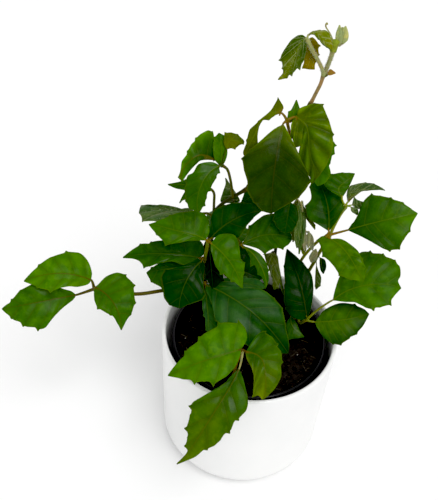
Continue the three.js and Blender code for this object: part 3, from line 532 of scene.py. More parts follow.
MIDDLE_SHOOT = stem(
    "middle_shoot",
    foot=(24, 37),
    thick=1.2,
    stretches=[
        (1.2, "dark", [
            mm(24, 37, 102), at(279, 296, 38), at(276.5, 280, 38),
            at(275.5, 250, 35), at(282, 228, 30),
        ]),
        (0.9, "olive", [at(282, 228, 30), at(292, 212, 25), at(301, 204, 22)]),
    ],
    leaves=[
        # dark leaflet beside the middle leaf
        leaf(
            "mid",
            [at(292, 212, 25), at(290, 204, 22)],
            blade(
                at(290, 202, 21), (285, 233),
                "283,203 275,208 272.5,220.5* 276,226 279.5,231*",
                "297,208 298,222 293,232*",
                tone="old", faint=0.6,
            ),
        ),
        # silvery young leaves that hang from the shoot's tip
        leaf(
            "grey",
            [at(292, 212, 25), at(301, 204, 22)],
            blade(
                at(297, 199, 25), (293, 242),
                "291,208 289.5,221 290.5,233*",
                "299.5,211 299,226 296.5,237*",
                tone="sage", pleat=0.6, lead=4.0,
            ),
            blade(
                at(299, 201, 22), (297, 248),
                "294,215 293.5,228 294,240*",
                "302,218 301,230 299.5,240*",
                turn=15, pleat=0.6, lead=4.0,
            ),
            blade(
                at(302, 201, 27), (299, 254),
                "298.5,222 297.5,240 298,248*",
                "305.5,215 305.5,228 303.5,243*",
                turn=20, pleat=0.6, lead=4.0,
            ),
            blade(
                at(303, 206, 26), (315, 229.5),
                "304,213 307,220",
                "306,209 310,216 315.6,225*",
                tone="olive",
            ),
            thick=0.7,
            bark="sprout",
            hub="sprout",
        ),
        # curled woolly leaflet beside them
        leaf(
            "felt",
            [at(301, 204, 22), at(304, 218, 20), at(305, 232, 18)],
            blade(at(305, 231, 18), (304.5, 251), "303.5,237 302.5,245", "307,237 306.5,246", fold=25),
            blade(at(309, 231.5, 17), (308, 248), "306.5,236 306.5,243", "311,236 310.5,243", fold=-30),
            blade(at(311, 234, 18), (312.5, 250.5), "309,239 309.5,246", "313.5,238 314,246", fold=30),
            blade(at(304, 236, 18), (303, 254.5), "301.5,241 301,250", "306,240 306.5,249", tone="olive"),
            thick=0.7,
            bark="sprout",
            hub="downy",
        ),
        # olive hanging leaflets
        leaf(
            "olive",
            [at(275.5, 256, 36), at(273, 252, 29)],
            blade(
                at(271, 253, 26), (274, 290),
                "262.5,254.5* 267,265 271,277* 272.5,286",
                "277,255 279,265 280,278 279,288*",
                turn=8, tone="sage", lead=3.5, pleat=0.5,
            ),
            blade(
                at(276, 258, 29), (283, 295),
                "278,272 280,286",
                "279.5,268 282,280* 284,291",
                turn=10, tone="sage",
            ),
            thick=0.7,
            bark="dark",
            hub="dark",
        ),
    ],
)

RIGHT_STEM = stem(
    "right_stem",
    foot=(30, 33),
    thick=1.3,
    stretches=[
        (1.3, "green", [
            mm(30, 33, 102), at(294, 292, 39), at(302, 281, 38),
            at(310, 269, 36), at(321, 250, 33), at(329, 238, 31),
        ]),
        (1.15, "lime", [at(329, 238, 31), at(334, 226, 30), at(340, 215, 28), at(345.5, 207, 26)]),
    ],
    leaves=[
        # big upper right leaf
        leaf(
            "fresh",
            [
                at(297, 288, 38.2), at(296, 273, 33), at(302, 259, 27),
                at(317, 242, 16), at(327.2, 235.6, 8),
            ],
            blade(
                at(348, 230, 9), (417.5, 213.5),
                "352,224 358,216 363,203 368,197 371.5,193.5* 380,196 391,197.5* 403,202* 411,208.5*",
                "358,235 370,241 382,248.5 390,252.5* 400,250* 404,240 410.5,232* 412,224",
                through=(375, 222.5), turn=-8, tone="old", to="bright", spurs=0.5,
            ),
            blade(
                at(329, 231, 9), (315, 174),
                "318,224.5 308,218 304.5,206* 311,198.5 309,187*",
                "337,221 345,208* 343,197* 331,188",
                through=(327, 203), lean=-12, tone="old", left="mid", right="mid", spurs=0.4, faint=0.3,
            ),
            blade(
                at(330, 239, 7), (363, 281),
                "323,236 316,240.5* 321,248 322,257* 331,263 337,271 338.5,276* 350,280*",
                "341,239 350,244 358,251 363,259* 367,269* 365,276",
                through=(351, 256), spurs=0.5, tone="lively",
            ),
            thick=1.1,
            bark="green",
        ),
        # leaf at the end of the right stem
        leaf(
            "mid",
            [at(344, 209, 26), at(345.5, 206, 23)],
            blade(
                at(342, 197, 19), (354.5, 173.5),
                "332,193 323,187 319,180* 330,176* 342,173*",
                "346,192 350,185",
                lean=-15, pleat=0.8,
            ),
            blade(
                at(348, 202, 27), (385, 190.5),
                "347,194 352,187 366,183.5* 374,184* 380,187",
                "354,197 361,191.5 371,190",
                through=(363, 189), turn=-40, lead=3.0, tone="grey",
            ),
            blade(at(352, 205, 25), (366, 203), "354,196* 358,200", "356,208 361,209", tone="grey"),
            blade(at(351, 207, 22), (357, 215), "351,211 353,213*", "357,208 358.5,212", tone="grey"),
            thick=1.1,
            bark="lime",
            hub="lime",
        ),
        # small hanging leaves
        leaf(
            "grey",
            [at(317, 257, 34), at(315.6, 256.4, 27.6)],
            blade(
                at(316, 249, 30), (311, 262.5),
                "312.5,251 309,257",
                "318,254 315.5,261",
                tone="felt", fold=25,
            ),
            blade(
                at(320, 257.5, 27), (323.4, 273.8),
                "319.5,264 320.5,270",
                "325,260 326.3,267",
                tone="dark",
            ),
            blade(
                at(316.5, 266, 27), (316, 289.4),
                "315.5,271 315,280 314.5,286*",
                "318.5,270.6 321.3,278 320.8,286*",
            ),
            thick=0.7,
            hub="olive",
        ),
    ],
)

LOW_RIGHT_SHOOT = stem(
    "low_right_shoot",
    foot=(35, 20),
    thick=1.3,
    stretches=[
        (1.2, "dark", [mm(35, 20, 102), mm(35.5, 17, 110)]),
    ],
    leaves=[
        # leaf with the two round leaflets over the rim and the dark upright one
        leaf(
            "mid",
            [mm(35.5, 17, 110), at(300, 323, 6), at(306, 320, -4)],
            blade(
                at(333, 300, -4), (401, 288),
                "335,290 340,276 350,262 361,254 370,252* 383,254.5* "
                "395,260.5* 399.5,267 400.5,274.5* 398,281",
                "345,302 356,302.5 366,308 374,311.5* 380,308 391.5,306* 393,298",
                through=(366, 285), turn=-6, tone="fresh", spurs=0.8,
            ),
            blade(
                at(315, 322, -6), (369, 314),
                "318,318 325,309.5 340,303 355,303.5* 364,309",
                "317,328 324,338 333,345* 341,345.5* 349,339* 357,334.5* 363,326",
                through=(342, 320), spurs=0.5, tone="lively", left="old", right="old",
            ),
            blade(
                at(307, 318, -3), (287, 249),
                "302,320 292,317 285,309* 283.5,300 284,285* 283.5,266* 285,258",
                "311,308 313.5,290 312,276 309,269* 303,262* 296,256",
                through=(301, 287), tone="dark", ruddy=0.4, spurs=0.3, faint=0.5,
            ),
            thick=1.1,
            bark="green",
            hub="green",
        ),
        # small leaf at its foot
        leaf(
            "mid",
            [mm(35.5, 17, 110), at(291, 317, 9)],
            blade(at(291, 316, 7), (304, 337), "286,325 288,340*", "297,324 300,331"),
            thick=0.8,
        ),
    ],
)

STEMS = [CLIMBING_STEM, FRONT_SHOOT, MIDDLE_SHOOT, RIGHT_STEM, LOW_RIGHT_SHOOT]


# Meshes

# Points this close together, in metres, become one.
POLE_REACH = 1e-7


class Surface:
    """Grids of points in millimetres with values at each point, gathered into one mesh. The value tone is a
    colour, and any other is a number."""

    def __init__(self):
        self.points = []
        self.faces = []
        self.values = {}
        self.count = 0

    def add(self, points, faces, **values):
        self.points.append(points.reshape(-1, 3))
        self.faces.append(faces + self.count)
        for name, value in values.items():
            flat = np.broadcast_to(value, points.shape[:-1] + ((3,) if name == "tone" else ()))
            self.values.setdefault(name, []).append(flat.reshape(len(self.points[-1]), -1))
        self.count += len(self.points[-1])

    def triangles(self):
        return 2 * sum(len(faces) for faces in self.faces)

    def make(self, name, material):
        """One smooth-shaded object whose values become point attributes."""
        points = np.concatenate(self.points) * MM
        faces = np.concatenate(self.faces)
        mesh = bpy.data.meshes.new(name)
        mesh.vertices.add(len(points))
        mesh.vertices.foreach_set("co", points.astype(np.float32).ravel())
        mesh.loops.add(faces.size)
        mesh.loops.foreach_set("vertex_index", faces.astype(np.int32).ravel())
        mesh.polygons.add(len(faces))
        mesh.polygons.foreach_set("loop_start", np.arange(0, faces.size, 4, dtype=np.int32))
        mesh.update(calc_edges=True)
        for key, parts in self.values.items():
            data = np.concatenate(parts)
            if data.shape[1] == 1:
                layer = mesh.attributes.new(key, "FLOAT", "POINT")
                layer.data.foreach_set("value", data.astype(np.float32).ravel())
            else:
                layer = mesh.attributes.new(key, "FLOAT_COLOR", "POINT")
                rgba = np.concatenate([data, np.ones((len(data), 1))], axis=1)
                layer.data.foreach_set("color", rgba.astype(np.float32).ravel())
        close_poles(mesh)
        mesh.shade_smooth()
        made = bpy.data.objects.new(name, mesh)
        bpy.context.scene.collection.objects.link(made)
        mesh.materials.append(material)
        return made


def close_poles(mesh):
    """A ring of points that falls on one place becomes one point."""
    work = bmesh.new()
    work.from_mesh(mesh)
    bmesh.ops.remove_doubles(work, verts=work.verts, dist=POLE_REACH)
    work.to_mesh(mesh)
    work.free()
    mesh.validate()


def grid_faces(rows, columns, around=False):
    """The four-sided faces of a grid of points, closed round its columns where the surface goes round."""
    i = np.arange(rows - 1)[:, None]
    j = np.arange(columns if around else columns - 1)[None, :]
    after = (j + 1) % columns
    corners = [i * columns + j, i * columns + after, (i + 1) * columns + after, (i + 1) * columns + j]
    return np.stack(corners, axis=-1).reshape(-1, 4)


# Curved paths, round pieces and down

# How far a round piece's closed end reaches past its path, as a share of its radius.
END_REACH = 0.5
# A hair's radii and length in millimetres, and how much it varies, leans, bends and starts under the skin.
HAIR = dict(
    sides=3,
    foot=0.05,
    middle=0.035,
    long=0.9,
    shortest=0.5,
    longest=1.1,
    lean=0.55,
    bend=0.35,
    sunk=0.97,
)
# Hairs to a millimetre of stem, and to a square millimetre of a blade's length times half its width.
DOWN_ON_BARK = dict(downy=32, sprout=20)
DOWN_ON_BLADE = dict(wool=5.0, felt=7.0, sage=1.0, grey=1.2, sappy=1.2, young=1.2, bronze=0.8)


def turns(count):
    """Angles evenly spaced round a full turn."""
    return np.linspace(0, 2 * math.pi, count, endpoint=False)


def round_about(angle, first, second):
    """Directions at the angles round, between two directions square to each other."""
    return np.cos(angle) * first + np.sin(angle) * second


def bell(distance, width):
    """1 at no distance, then less and less: e to the power of minus the square of distance over width."""
    return np.exp(-((distance / width) ** 2))


def cubic(t, start, leaving, stop, arriving):
    """The cubic from start to stop as t goes from 0 to 1, with these slopes at its two ends."""
    return (
        (2 * t**3 - 3 * t**2 + 1) * start
        + (t**3 - 2 * t**2 + t) * leaving
        + (3 * t**2 - 2 * t**3) * stop
        + (t**3 - t**2) * arriving
    )


def run_along(path):
    """How far each point lies along the path."""
    return np.concatenate([[0], np.cumsum(np.linalg.norm(np.diff(path, axis=0), axis=1))])


def smooth_path(points, steps):
    """A curve through the points: between two points it is the cubic whose slopes are those of the chords
    beside each point, weighed by the square roots of their lengths, sampled at steps places a chord."""
    points = np.asarray(points, float)
    if len(points) == 2:
        share = np.linspace(0, 1, steps + 1)[:, None]
        return points[0] + share * (points[1] - points[0])
    before_first = 2 * points[0] - points[1]
    after_last = 2 * points[-1] - points[-2]
    knots = np.stack([before_first, *points, after_last])
    gap = np.sqrt(np.linalg.norm(np.diff(knots, axis=0), axis=1))[:, None]
    chord = np.diff(knots, axis=0) / gap
    slope = chord[:-1] + chord[1:] - (knots[2:] - knots[:-2]) / (gap[:-1] + gap[1:])
    leaving = (slope[:-1] * gap[1:-1])[:, None]
    arriving = (slope[1:] * gap[1:-1])[:, None]
    t = np.linspace(0, 1, steps, endpoint=False)[None, :, None]
    curve = cubic(t, points[:-1, None], leaving, points[1:, None], arriving)
    return np.concatenate([curve.reshape(-1, 3), points[-1:]])


def across_path(path):
    """The path's direction at each point, and two directions square to it, which come from the axis that the
    path runs along least."""
    along = unit(np.gradient(path, axis=0))
    least = np.eye(3)[np.argmin(np.abs(along).max(axis=0))]
    first = unit(np.cross(along, least))
    return along, first, np.cross(along, first)


def carry_round(surface, path, radius, sides, tone):
    """A round section carried along the path. Its radius is given at each point, and each end closes to a
    point a little way on. The tone is one colour, or one at each point."""
    along, first, second = across_path(path)
    radius = np.broadcast_to(radius, len(path)).astype(float)
    tone = np.broadcast_to(tone, (len(path), 3))
    start = path[:1] - along[:1] * radius[0] * END_REACH
    stop = path[-1:] + along[-1:] * radius[-1] * END_REACH
    path = np.concatenate([start, path, stop])
    radius = np.concatenate([[0], radius, [0]])[:, None, None]
    first, second, tone = (np.concatenate([rows[:1], rows, rows[-1:]]) for rows in (first, second, tone))
    outward = round_about(turns(sides)[None, :, None], first[:, None], second[:, None])
    points = path[:, None] + radius * outward
    surface.add(points, grid_faces(len(path), sides, around=True), tone=tone[:, None])


def strew_down(surface, points, outward, random):
    """Downy hairs at the points. Each is a thin three-sided spike that leans a random way and bends over."""
    count = len(points)
    lean = unit(outward + HAIR["lean"] * random.standard_normal((count, 3)))
    bend = HAIR["bend"] * random.standard_normal((count, 3))
    reach = HAIR["long"] * random.uniform(HAIR["shortest"], HAIR["longest"], (count, 1))
    middle = points + lean * reach * 0.5
    tip = middle + (lean + bend) * reach * 0.5
    least = np.eye(3)[np.argmin(np.abs(lean), axis=1)]
    first = unit(np.cross(lean, least))
    second = np.cross(lean, first)
    ring = round_about(turns(HAIR["sides"])[None, :, None], first[:, None], second[:, None])
    rows = [(points, 0.0), (points, HAIR["foot"]), (middle, HAIR["middle"]), (tip, 0.0)]
    grid = np.stack([centre[:, None] + thick * ring for centre, thick in rows], axis=1)
    one = grid_faces(len(rows), HAIR["sides"], around=True)
    skipped = len(rows) * HAIR["sides"] * np.arange(count)[:, None, None]
    surface.add(grid, (one + skipped).reshape(-1, 4))


def down_along(surface, path, radius, per_mm, random):
    """Down on a round stretch, so many hairs to a millimetre."""
    _, first, second = across_path(path)
    run = run_along(path)
    count = int(run[-1] * per_mm)
    where = random.uniform(0, run[-1], count)
    angle = random.uniform(0, 2 * math.pi, count)[:, None]

    def carried(rows):
        return np.stack([np.interp(where, run, rows[:, k]) for k in range(3)], axis=1)

    outward = round_about(angle, carried(first), carried(second))
    strew_down(surface, carried(path) + outward * radius * HAIR["sunk"], outward, random)


# Leaflets

# A leaflet without margins of its own: shares of its length and of half its width, and whether a tooth.
PLAIN_MARGIN = [
    (0.03, 0.35, False),
    (0.17, 0.8, True),
    (0.38, 1, True),
    (0.58, 0.86, True),
    (0.76, 0.55, True),
    (0.9, 0.22, True),
]
# What holds where a leaflet's form doesn't say: its width as a share of its length, and its curve.
PLAIN_WIDE = 0.62
ARCH = 0.08
FOLD = 12
CURL = 0.25
RIB_SLACK = 0.3
VEIN_LEAD = 1.85
# How often a place is found again at its own height on the curved blade.
SIGHT_ROUNDS = 8
# Half of the blade's width at its base and at its tip, in millimetres.
BASE_HALF = 0.3
TIP_HALF = 0.35
# Side veins bend forward by this power, start between the first and the last share of the margin, and come
# where teeth lie further apart than this. Slant lessens the distance to one, and far is further than any.
VEIN_ARCH = 1.25
VEINS = dict(first=0.06, last=0.97, apart=0.24, slant=0.8, far=50.0)
# A tooth's height, at most this share of the blade's length and width, and the shape of the edge beside it.
SPUR = dict(high=2.8, share=0.06, of_width=0.14, narrow=0.9, fade=0.8, before=0.45)
# The blade's grid. Rows beside a tooth's tip lie this far from it, and columns crowd towards the midrib.
NEAR_TIP = np.array([-1.2, -0.7, -0.3, 0, 0.3, 0.7, 1.2])
ROW_GAP = 0.22
FEWEST_ROWS = 8
ROW_SPACING = dict(least=0.75, most=1.2, share=1 / 40)
# A leaflet longer than the first number has as many columns as the second.
COLUMNS = [(35, 23), (18, 17), (0, 11)]
COLUMN_CROWD = 1.5


def turned_about(vector, axis, degrees):
    """A vector turned about an axis of length 1."""
    angle = math.radians(degrees)
    return (
        vector * math.cos(angle)
        + np.cross(axis, vector) * math.sin(angle)
        + axis * (axis @ vector) * (1 - math.cos(angle))
    )


class Leaflet:
    """A leaflet's own frame: e runs from base to tip, n faces the viewer, or up, before turn tips it, and s
    is its right-hand side. A place on it is a share u of its length and b millimetres beside the axis."""

    def __init__(self, form):
        self.form = form
        self.base = form["base"]
        to_eye = unit(EYE - self.base)
        tip = form["tip"]
        self.tip = tip if isinstance(tip, np.ndarray) else self.leaning_tip(tip, to_eye)
        self.length = np.linalg.norm(self.tip - self.base)
        self.e = unit(self.tip - self.base)
        wanted = mm(0, 0, 1) if form.get("face") == "up" else to_eye
        facing = unit(wanted - self.e * (wanted @ self.e))
        self.n = turned_about(facing, self.e, form.get("turn", 0))
        self.s = np.cross(self.e, self.n)
        self.lead = form.get("lead", VEIN_LEAD)
        # Half the width is guessed until the margins have been read.
        self.half = form.get("wide", PLAIN_WIDE * self.length) / 2
        self.left, self.right = self.sides()
        self.half = max(np.abs(side["b"]).max() for side in (self.left, self.right))
        u, b = self.on_blade(*form["through"]) if "through" in form else (0.5, 0)
        self.bow = b / (4 * u * (1 - u))

    def leaning_tip(self, tip, to_eye):
        """The tip as far from the viewer as the base, then brought nearer by lean."""
        flat = seen_on_plane(*tip, self.base, to_eye)
        nearer = np.linalg.norm(flat - self.base) * math.tan(math.radians(self.form.get("lean", 0)))
        return flat + unit(EYE - flat) * nearer

    def height(self, u, b):
        """An arch along the midrib, a fold at the midrib, and edges that curl back with the square of b."""
        arch = self.form.get("arch", ARCH) * self.length * 4 * u * (1 - u)
        fold = np.abs(b) * math.tan(math.radians(self.form.get("fold", FOLD)))
        return arch + fold - CURL * b**2 / self.half

    def on_blade(self, px, py):
        """The place on the curved blade that the viewer sees at a pixel: the place on a flat blade, found
        again at the height of the last one until it settles."""
        u, b = 0.0, 0.0
        for _ in range(SIGHT_ROUNDS):
            lift = self.height(u, b)
            hit = seen_on_plane(px, py, self.base + self.n * lift, self.n) - self.base
            u, b = hit @ self.e / self.length, hit @ self.s
        return u, b

    def sides(self):
        """The left and the right margin as arrays: u, b, whether a tooth, the run along the margin, and r,
        the share of the midrib where the side vein to that place starts. r lies behind the place, so that
        side veins run forward."""
        read = []
        for text in self.form["margins"]:
            words = text.split()
            places = [self.on_blade(*map(float, word.strip("*").split(","))) for word in words]
            read.append((np.array(places), [word.endswith("*") for word in words]))
        if not read:
            plain = np.array([(u, w) for u, w, _ in PLAIN_MARGIN])
            teeth = [tooth for _, _, tooth in PLAIN_MARGIN]
            read = [(plain * (1, side * self.half), teeth) for side in (-1, 1)]
        read.sort(key=lambda margin: margin[0][:, 1].mean())
        made = []
        for sign, (places, teeth) in zip((-1, 1), read):
            places = np.concatenate([[(0, sign * BASE_HALF)], places, [(1, sign * TIP_HALF)]])
            u, b = places.T
            step = np.hypot(np.diff(u) * self.length, np.diff(b))
            run = np.concatenate([[0], np.cumsum(step)])
            tooth = np.array([False, *teeth, False])
            made.append(dict(u=u, b=b, tooth=tooth, run=run, r=(run / run[-1]) ** self.lead))
        return made

    def margin(self, side, r):
        """A smooth curve through a margin's knots at the shares r, and how far it lies inside its teeth."""
        last = len(side["r"]) - 2
        i = np.clip(np.searchsorted(side["r"], r, side="left") - 1, 0, last)
        t = (r - side["r"][i]) / (side["r"][i + 1] - side["r"][i])
        before, after = np.maximum(i - 1, 0), np.minimum(i + 2, last + 1)
        curve = []
        for knots in (side["u"], side["b"]):
            straight = knots[i + 1] - knots[i]
            leaving = np.where(side["tooth"][i] | (i == 0), straight, (knots[i + 1] - knots[before]) / 2)
            arriving = np.where(side["tooth"][i + 1] | (i == last), straight, (knots[after] - knots[i]) / 2)
            curve.append(cubic(t, knots[i], leaving, knots[i + 1], arriving))
        along = r ** (1 / self.lead) * side["run"][-1]
        start, stop = side["run"][i], side["run"][i + 1]
        past = self.spur_inset(along - start, stop - start) * side["tooth"][i]
        short = self.spur_inset(stop - along, stop - start) * side["tooth"][i + 1] * SPUR["before"]
        return *curve, np.maximum(past, short)

    def spur_inset(self, apart, gap):
        """How far the edge lies inside its teeth's tips, as a share of the spur's height: nothing at a tip,
        a quick step beside it, then less and less until the next place on the margin."""
        return (1 - bell(apart, SPUR["narrow"])) * np.clip(1 - apart / gap, 0, 1) ** SPUR["fade"]

    def rows(self, spacing):
        """The shares r of the grid's rows: evenly spaced along the margin, and close together at teeth. A
        row too close to the last one is left out, or takes its place where it is a tooth's tip."""
        length = (self.left["run"][-1] + self.right["run"][-1]) / 2
        shares = [np.linspace(0, 1, max(FEWEST_ROWS, int(length / spacing)) + 1)]
        tips = []
        for side in (self.left, self.right):
            teeth = side["run"][side["tooth"]]
            shares.append(((teeth[:, None] + NEAR_TIP) / side["run"][-1]).ravel())
            tips.append(teeth / side["run"][-1])
        shares = np.sort(np.clip(np.concatenate(shares), 0, 1))
        at_tip = np.isin(shares, np.concatenate(tips))
        keep = [0]
        for k in range(1, len(shares)):
            if shares[k] - shares[keep[-1]] > ROW_GAP / length:
                keep.append(k)
            elif at_tip[k]:
                keep[-1] = k
        return shares[keep] ** self.lead

    def grid(self, spacing, columns):
        """Points of the blade. A row starts at share r of the midrib and runs out to both margins, and v is
        -1 at the left one, 0 on the midrib and 1 at the right one. With r and v come each point's u and b,
        and its millimetres from the midrib and from the nearest side vein."""
        r = self.rows(spacing)
        v = np.linspace(-1, 1, columns)
        v = np.sign(v) * np.abs(v) ** COLUMN_CROWD
        left_u, left_b, left_inset = self.margin(self.left, r)
        right_u, right_b, right_inset = self.margin(self.right, r)
        most = min(SPUR["high"], SPUR["share"] * self.length)
        high = np.minimum(most, SPUR["of_width"] * (right_b - left_b)) * self.form.get("spurs", 1.0)
        left_b = left_b + high * left_inset
        right_b = right_b - high * right_inset
        rib_b = self.rib(r, left_b, right_b)[:, None]
        edge_u = np.where(v < 0, left_u[:, None], right_u[:, None])
        edge_b = np.where(v < 0, left_b[:, None], right_b[:, None])
        u = r[:, None] + (edge_u - r[:, None]) * np.abs(v) ** VEIN_ARCH
        b = rib_b + (edge_b - rib_b) * np.abs(v)
        return r, v, u, b, np.abs(b - rib_b), self.vein_distance(r, v, u, b)

    def rib(self, r, left, right):
        """The midrib: a bow through its given place, kept off both margins, and smoothed to r (1 - r) times
        a parabola by least squares."""
        slack = self.form.get("slack", RIB_SLACK) * (right - left)
        kept = np.clip(4 * self.bow * r * (1 - r), left + slack, right - slack)
        shape = (r * (1 - r))[:, None] * np.stack([np.ones_like(r), r, r**2], axis=1)
        return shape @ np.linalg.lstsq(shape, kept, rcond=None)[0]

    def vein_shares(self, side):
        """Where side veins start: one to each tooth, with more where teeth lie far apart."""
        run = side["run"] / side["run"][-1]
        shares = list(run[side["tooth"]])
        marks = sorted([VEINS["first"], *shares, VEINS["last"]])
        for start, stop in zip(marks[:-1], marks[1:]):
            extra = int((stop - start) / VEINS["apart"])
            shares += [start + (stop - start) * (k + 1) / (extra + 1) for k in range(extra)]
        return np.sort(np.array(shares)) ** self.lead

    def vein_distance(self, r, v, u, b):
        """Millimetres from each grid point to the nearest side vein on its own side of the midrib, taken
        along its column and lessened because veins cross columns at a slant."""
        distance = np.full(u.shape, VEINS["far"])
        for sign, side in ((-1, self.left), (1, self.right)):
            own = np.flatnonzero(np.sign(v) == sign)
            for share in self.vein_shares(side):
                vein_u = np.array([np.interp(share, r, u[:, j]) for j in own])
                vein_b = np.array([np.interp(share, r, b[:, j]) for j in own])
                apart = np.hypot((u[:, own] - vein_u) * self.length, b[:, own] - vein_b) * VEINS["slant"]
                distance[:, own] = np.minimum(distance[:, own], apart)
        middle = np.flatnonzero(v == 0)
        distance[:, middle] = (distance[:, middle - 1] + distance[:, middle + 1]) / 2
        return distance

    def place(self, u, b, lift):
        """The point at u and b, lifted off the curved blade."""
        return (
            self.base
            + self.e * (u * self.length)[..., None]
            + self.s * b[..., None]
            + self.n * (self.height(u, b) + lift)[..., None]
        )


# Greens of leaflets, some of them darkened or lightened as painted shade and light, and the tones of scales
# and down.
TONES = dict(
    deep=(0.026, 0.1, 0.018),
    dark=(0.005, 0.034, 0.0005),
    shaded=(0.003, 0.02, 0.0005),
    umber=(0.016, 0.041, 0.0005),
    old=(0.009, 0.05, 0.0005),
    mid=(0.024, 0.09, 0.0005),
    fresh=(0.037, 0.122, 0.0005),
    bright=(0.052, 0.158, 0.0005),
    lively=(0.046, 0.128, 0.0005),
    warm=(0.044, 0.098, 0.0005),
    sunny=(0.075, 0.135, 0.0005),
    sage=(0.05, 0.08, 0.01),
    felt=(0.24, 0.25, 0.14),
    olive=(0.075, 0.11, 0.001),
    grey=(0.05, 0.105, 0.02),
    sappy=(0.032, 0.078, 0.0005),
    young=(0.16, 0.2, 0.001),
    bronze=(0.2, 0.165, 0.002),
    scale=(0.26, 0.15, 0.03),
    wool=(0.42, 0.46, 0.16),
)
# How much a leaflet's green may differ from its tone, and the share of the midrib that near reaches.
TONE_SPREAD = (0.93, 1.07)
NEAR_BASE = 0.16
# How high the quilting is, in millimetres.
QUILT = dict(wool=0.3)
PLAIN_QUILT = 0.42
# Painted shade and light on the quilting: how much paler its tops are painted than its hollows, and the
# height between them that keeps the tone.
VALLEY_SHADE = 0.32
VALLEY_EVEN = 0.42
# 0 is downy and 1 is smooth and full-grown.
AGE = dict(
    fresh=0.6,
    bright=0.5,
    olive=0.35,
    scale=0.3,
    bronze=0.24,
    sage=0.2,
    grey=0.15,
    young=0.14,
    sappy=0.14,
    felt=0.0,
    wool=0.0,
)
PLAIN_AGE = 0.9
# Tones of stems, petioles and stalks, and of the bark beside a joint.
BARKS = dict(
    leafy=(0.035, 0.075, 0.001),
    # dark is partly the stems' own colour and partly painted shade for the low stems deep in the plant.
    dark=(0.03, 0.04, 0.002),
    ruddy=(0.075, 0.07, 0.002),
    brown=(0.075, 0.045, 0.001),
    olive=(0.07, 0.085, 0.004),
    green=(0.15, 0.19, 0.012),
    lime=(0.22, 0.3, 0.015),
    russet=(0.17, 0.12, 0.003),
    tan=(0.29, 0.215, 0.08),
    sprout=(0.3, 0.33, 0.11),
    downy=(0.27, 0.29, 0.11),
)
JOINT_BARK = (0.16, 0.1, 0.015)

# The quilting sinks to nothing towards side veins and the midrib, and is lower on narrow leaflets.
PILLOW = dict(off_vein=2.6, off_rib=1.8, full_half=12)
# The waves' heights as shares of half the width, and how quickly they follow each other.
WAVE = dict(edge=0.032, whole=0.02, fewest=9, most=14, along=6, across=2.5)
# The midrib's and the side veins' relief, which fades to the tip and the edge.
RIB = dict(high=0.85, wide=0.55, fade=0.85, above=0.35, below=0.8, full_size=40)
SIDE_VEIN = dict(high=0.16, wide=0.35, fade=0.7, off_rib=0.1)
# The blade's thickness, which is less on short leaflets.
SLAB = dict(edge=0.3, middle=0.42, least=0.45, full_size=60)


def waves(u, b, half, random):
    """Slow waves that grow towards the edges with the square of b, and a slower one over the whole blade."""
    phase = random.uniform(0, 2 * math.pi, 3)
    outward = np.clip(np.abs(b) / half, 0, 1)
    along = u * random.uniform(WAVE["fewest"], WAVE["most"]) + phase[0] + np.sign(b) * phase[1]
    edge = WAVE["edge"] * half * outward**2 * np.sin(along)
    whole = WAVE["whole"] * half * np.sin(u * WAVE["along"] + phase[2])
    return edge + whole * np.cos(b / half * WAVE["across"] + phase[1])


def slab_faces(rows, columns):
    """The faces of two grids of points, one above the other, closed all round their edge."""
    index = np.arange(rows * columns).reshape(rows, columns)
    upper = grid_faces(rows, columns)
    lower = upper[:, ::-1] + rows * columns
    ring = np.concatenate([index[0, :], index[1:, -1], index[-1, -2::-1], index[-2:0:-1, 0]])
    under = ring + rows * columns
    rim = np.stack([under, np.roll(under, -1), np.roll(ring, -1), ring], axis=-1)
    return np.concatenate([upper, lower, rim])


def blade_tone(form, tone, r, v, random):
    """The leaflet's green over its grid, changing towards the greens given for its base, tip and sides. On
    some leaflets these changes are painted light and shade.
    """
    shade = np.array(TONES[tone]) * random.uniform(*TONE_SPREAD)
    shares = dict(
        near=bell(r, NEAR_BASE)[:, None],
        to=r[:, None],
        left=np.clip(-v, 0, 1) ** 2,
        right=np.clip(v, 0, 1) ** 2,
    )
    for key, share in shares.items():
        change = np.array(TONES[form.get(key, tone)]) - TONES[tone]
        shade = shade + change * share[..., None]
    return shade


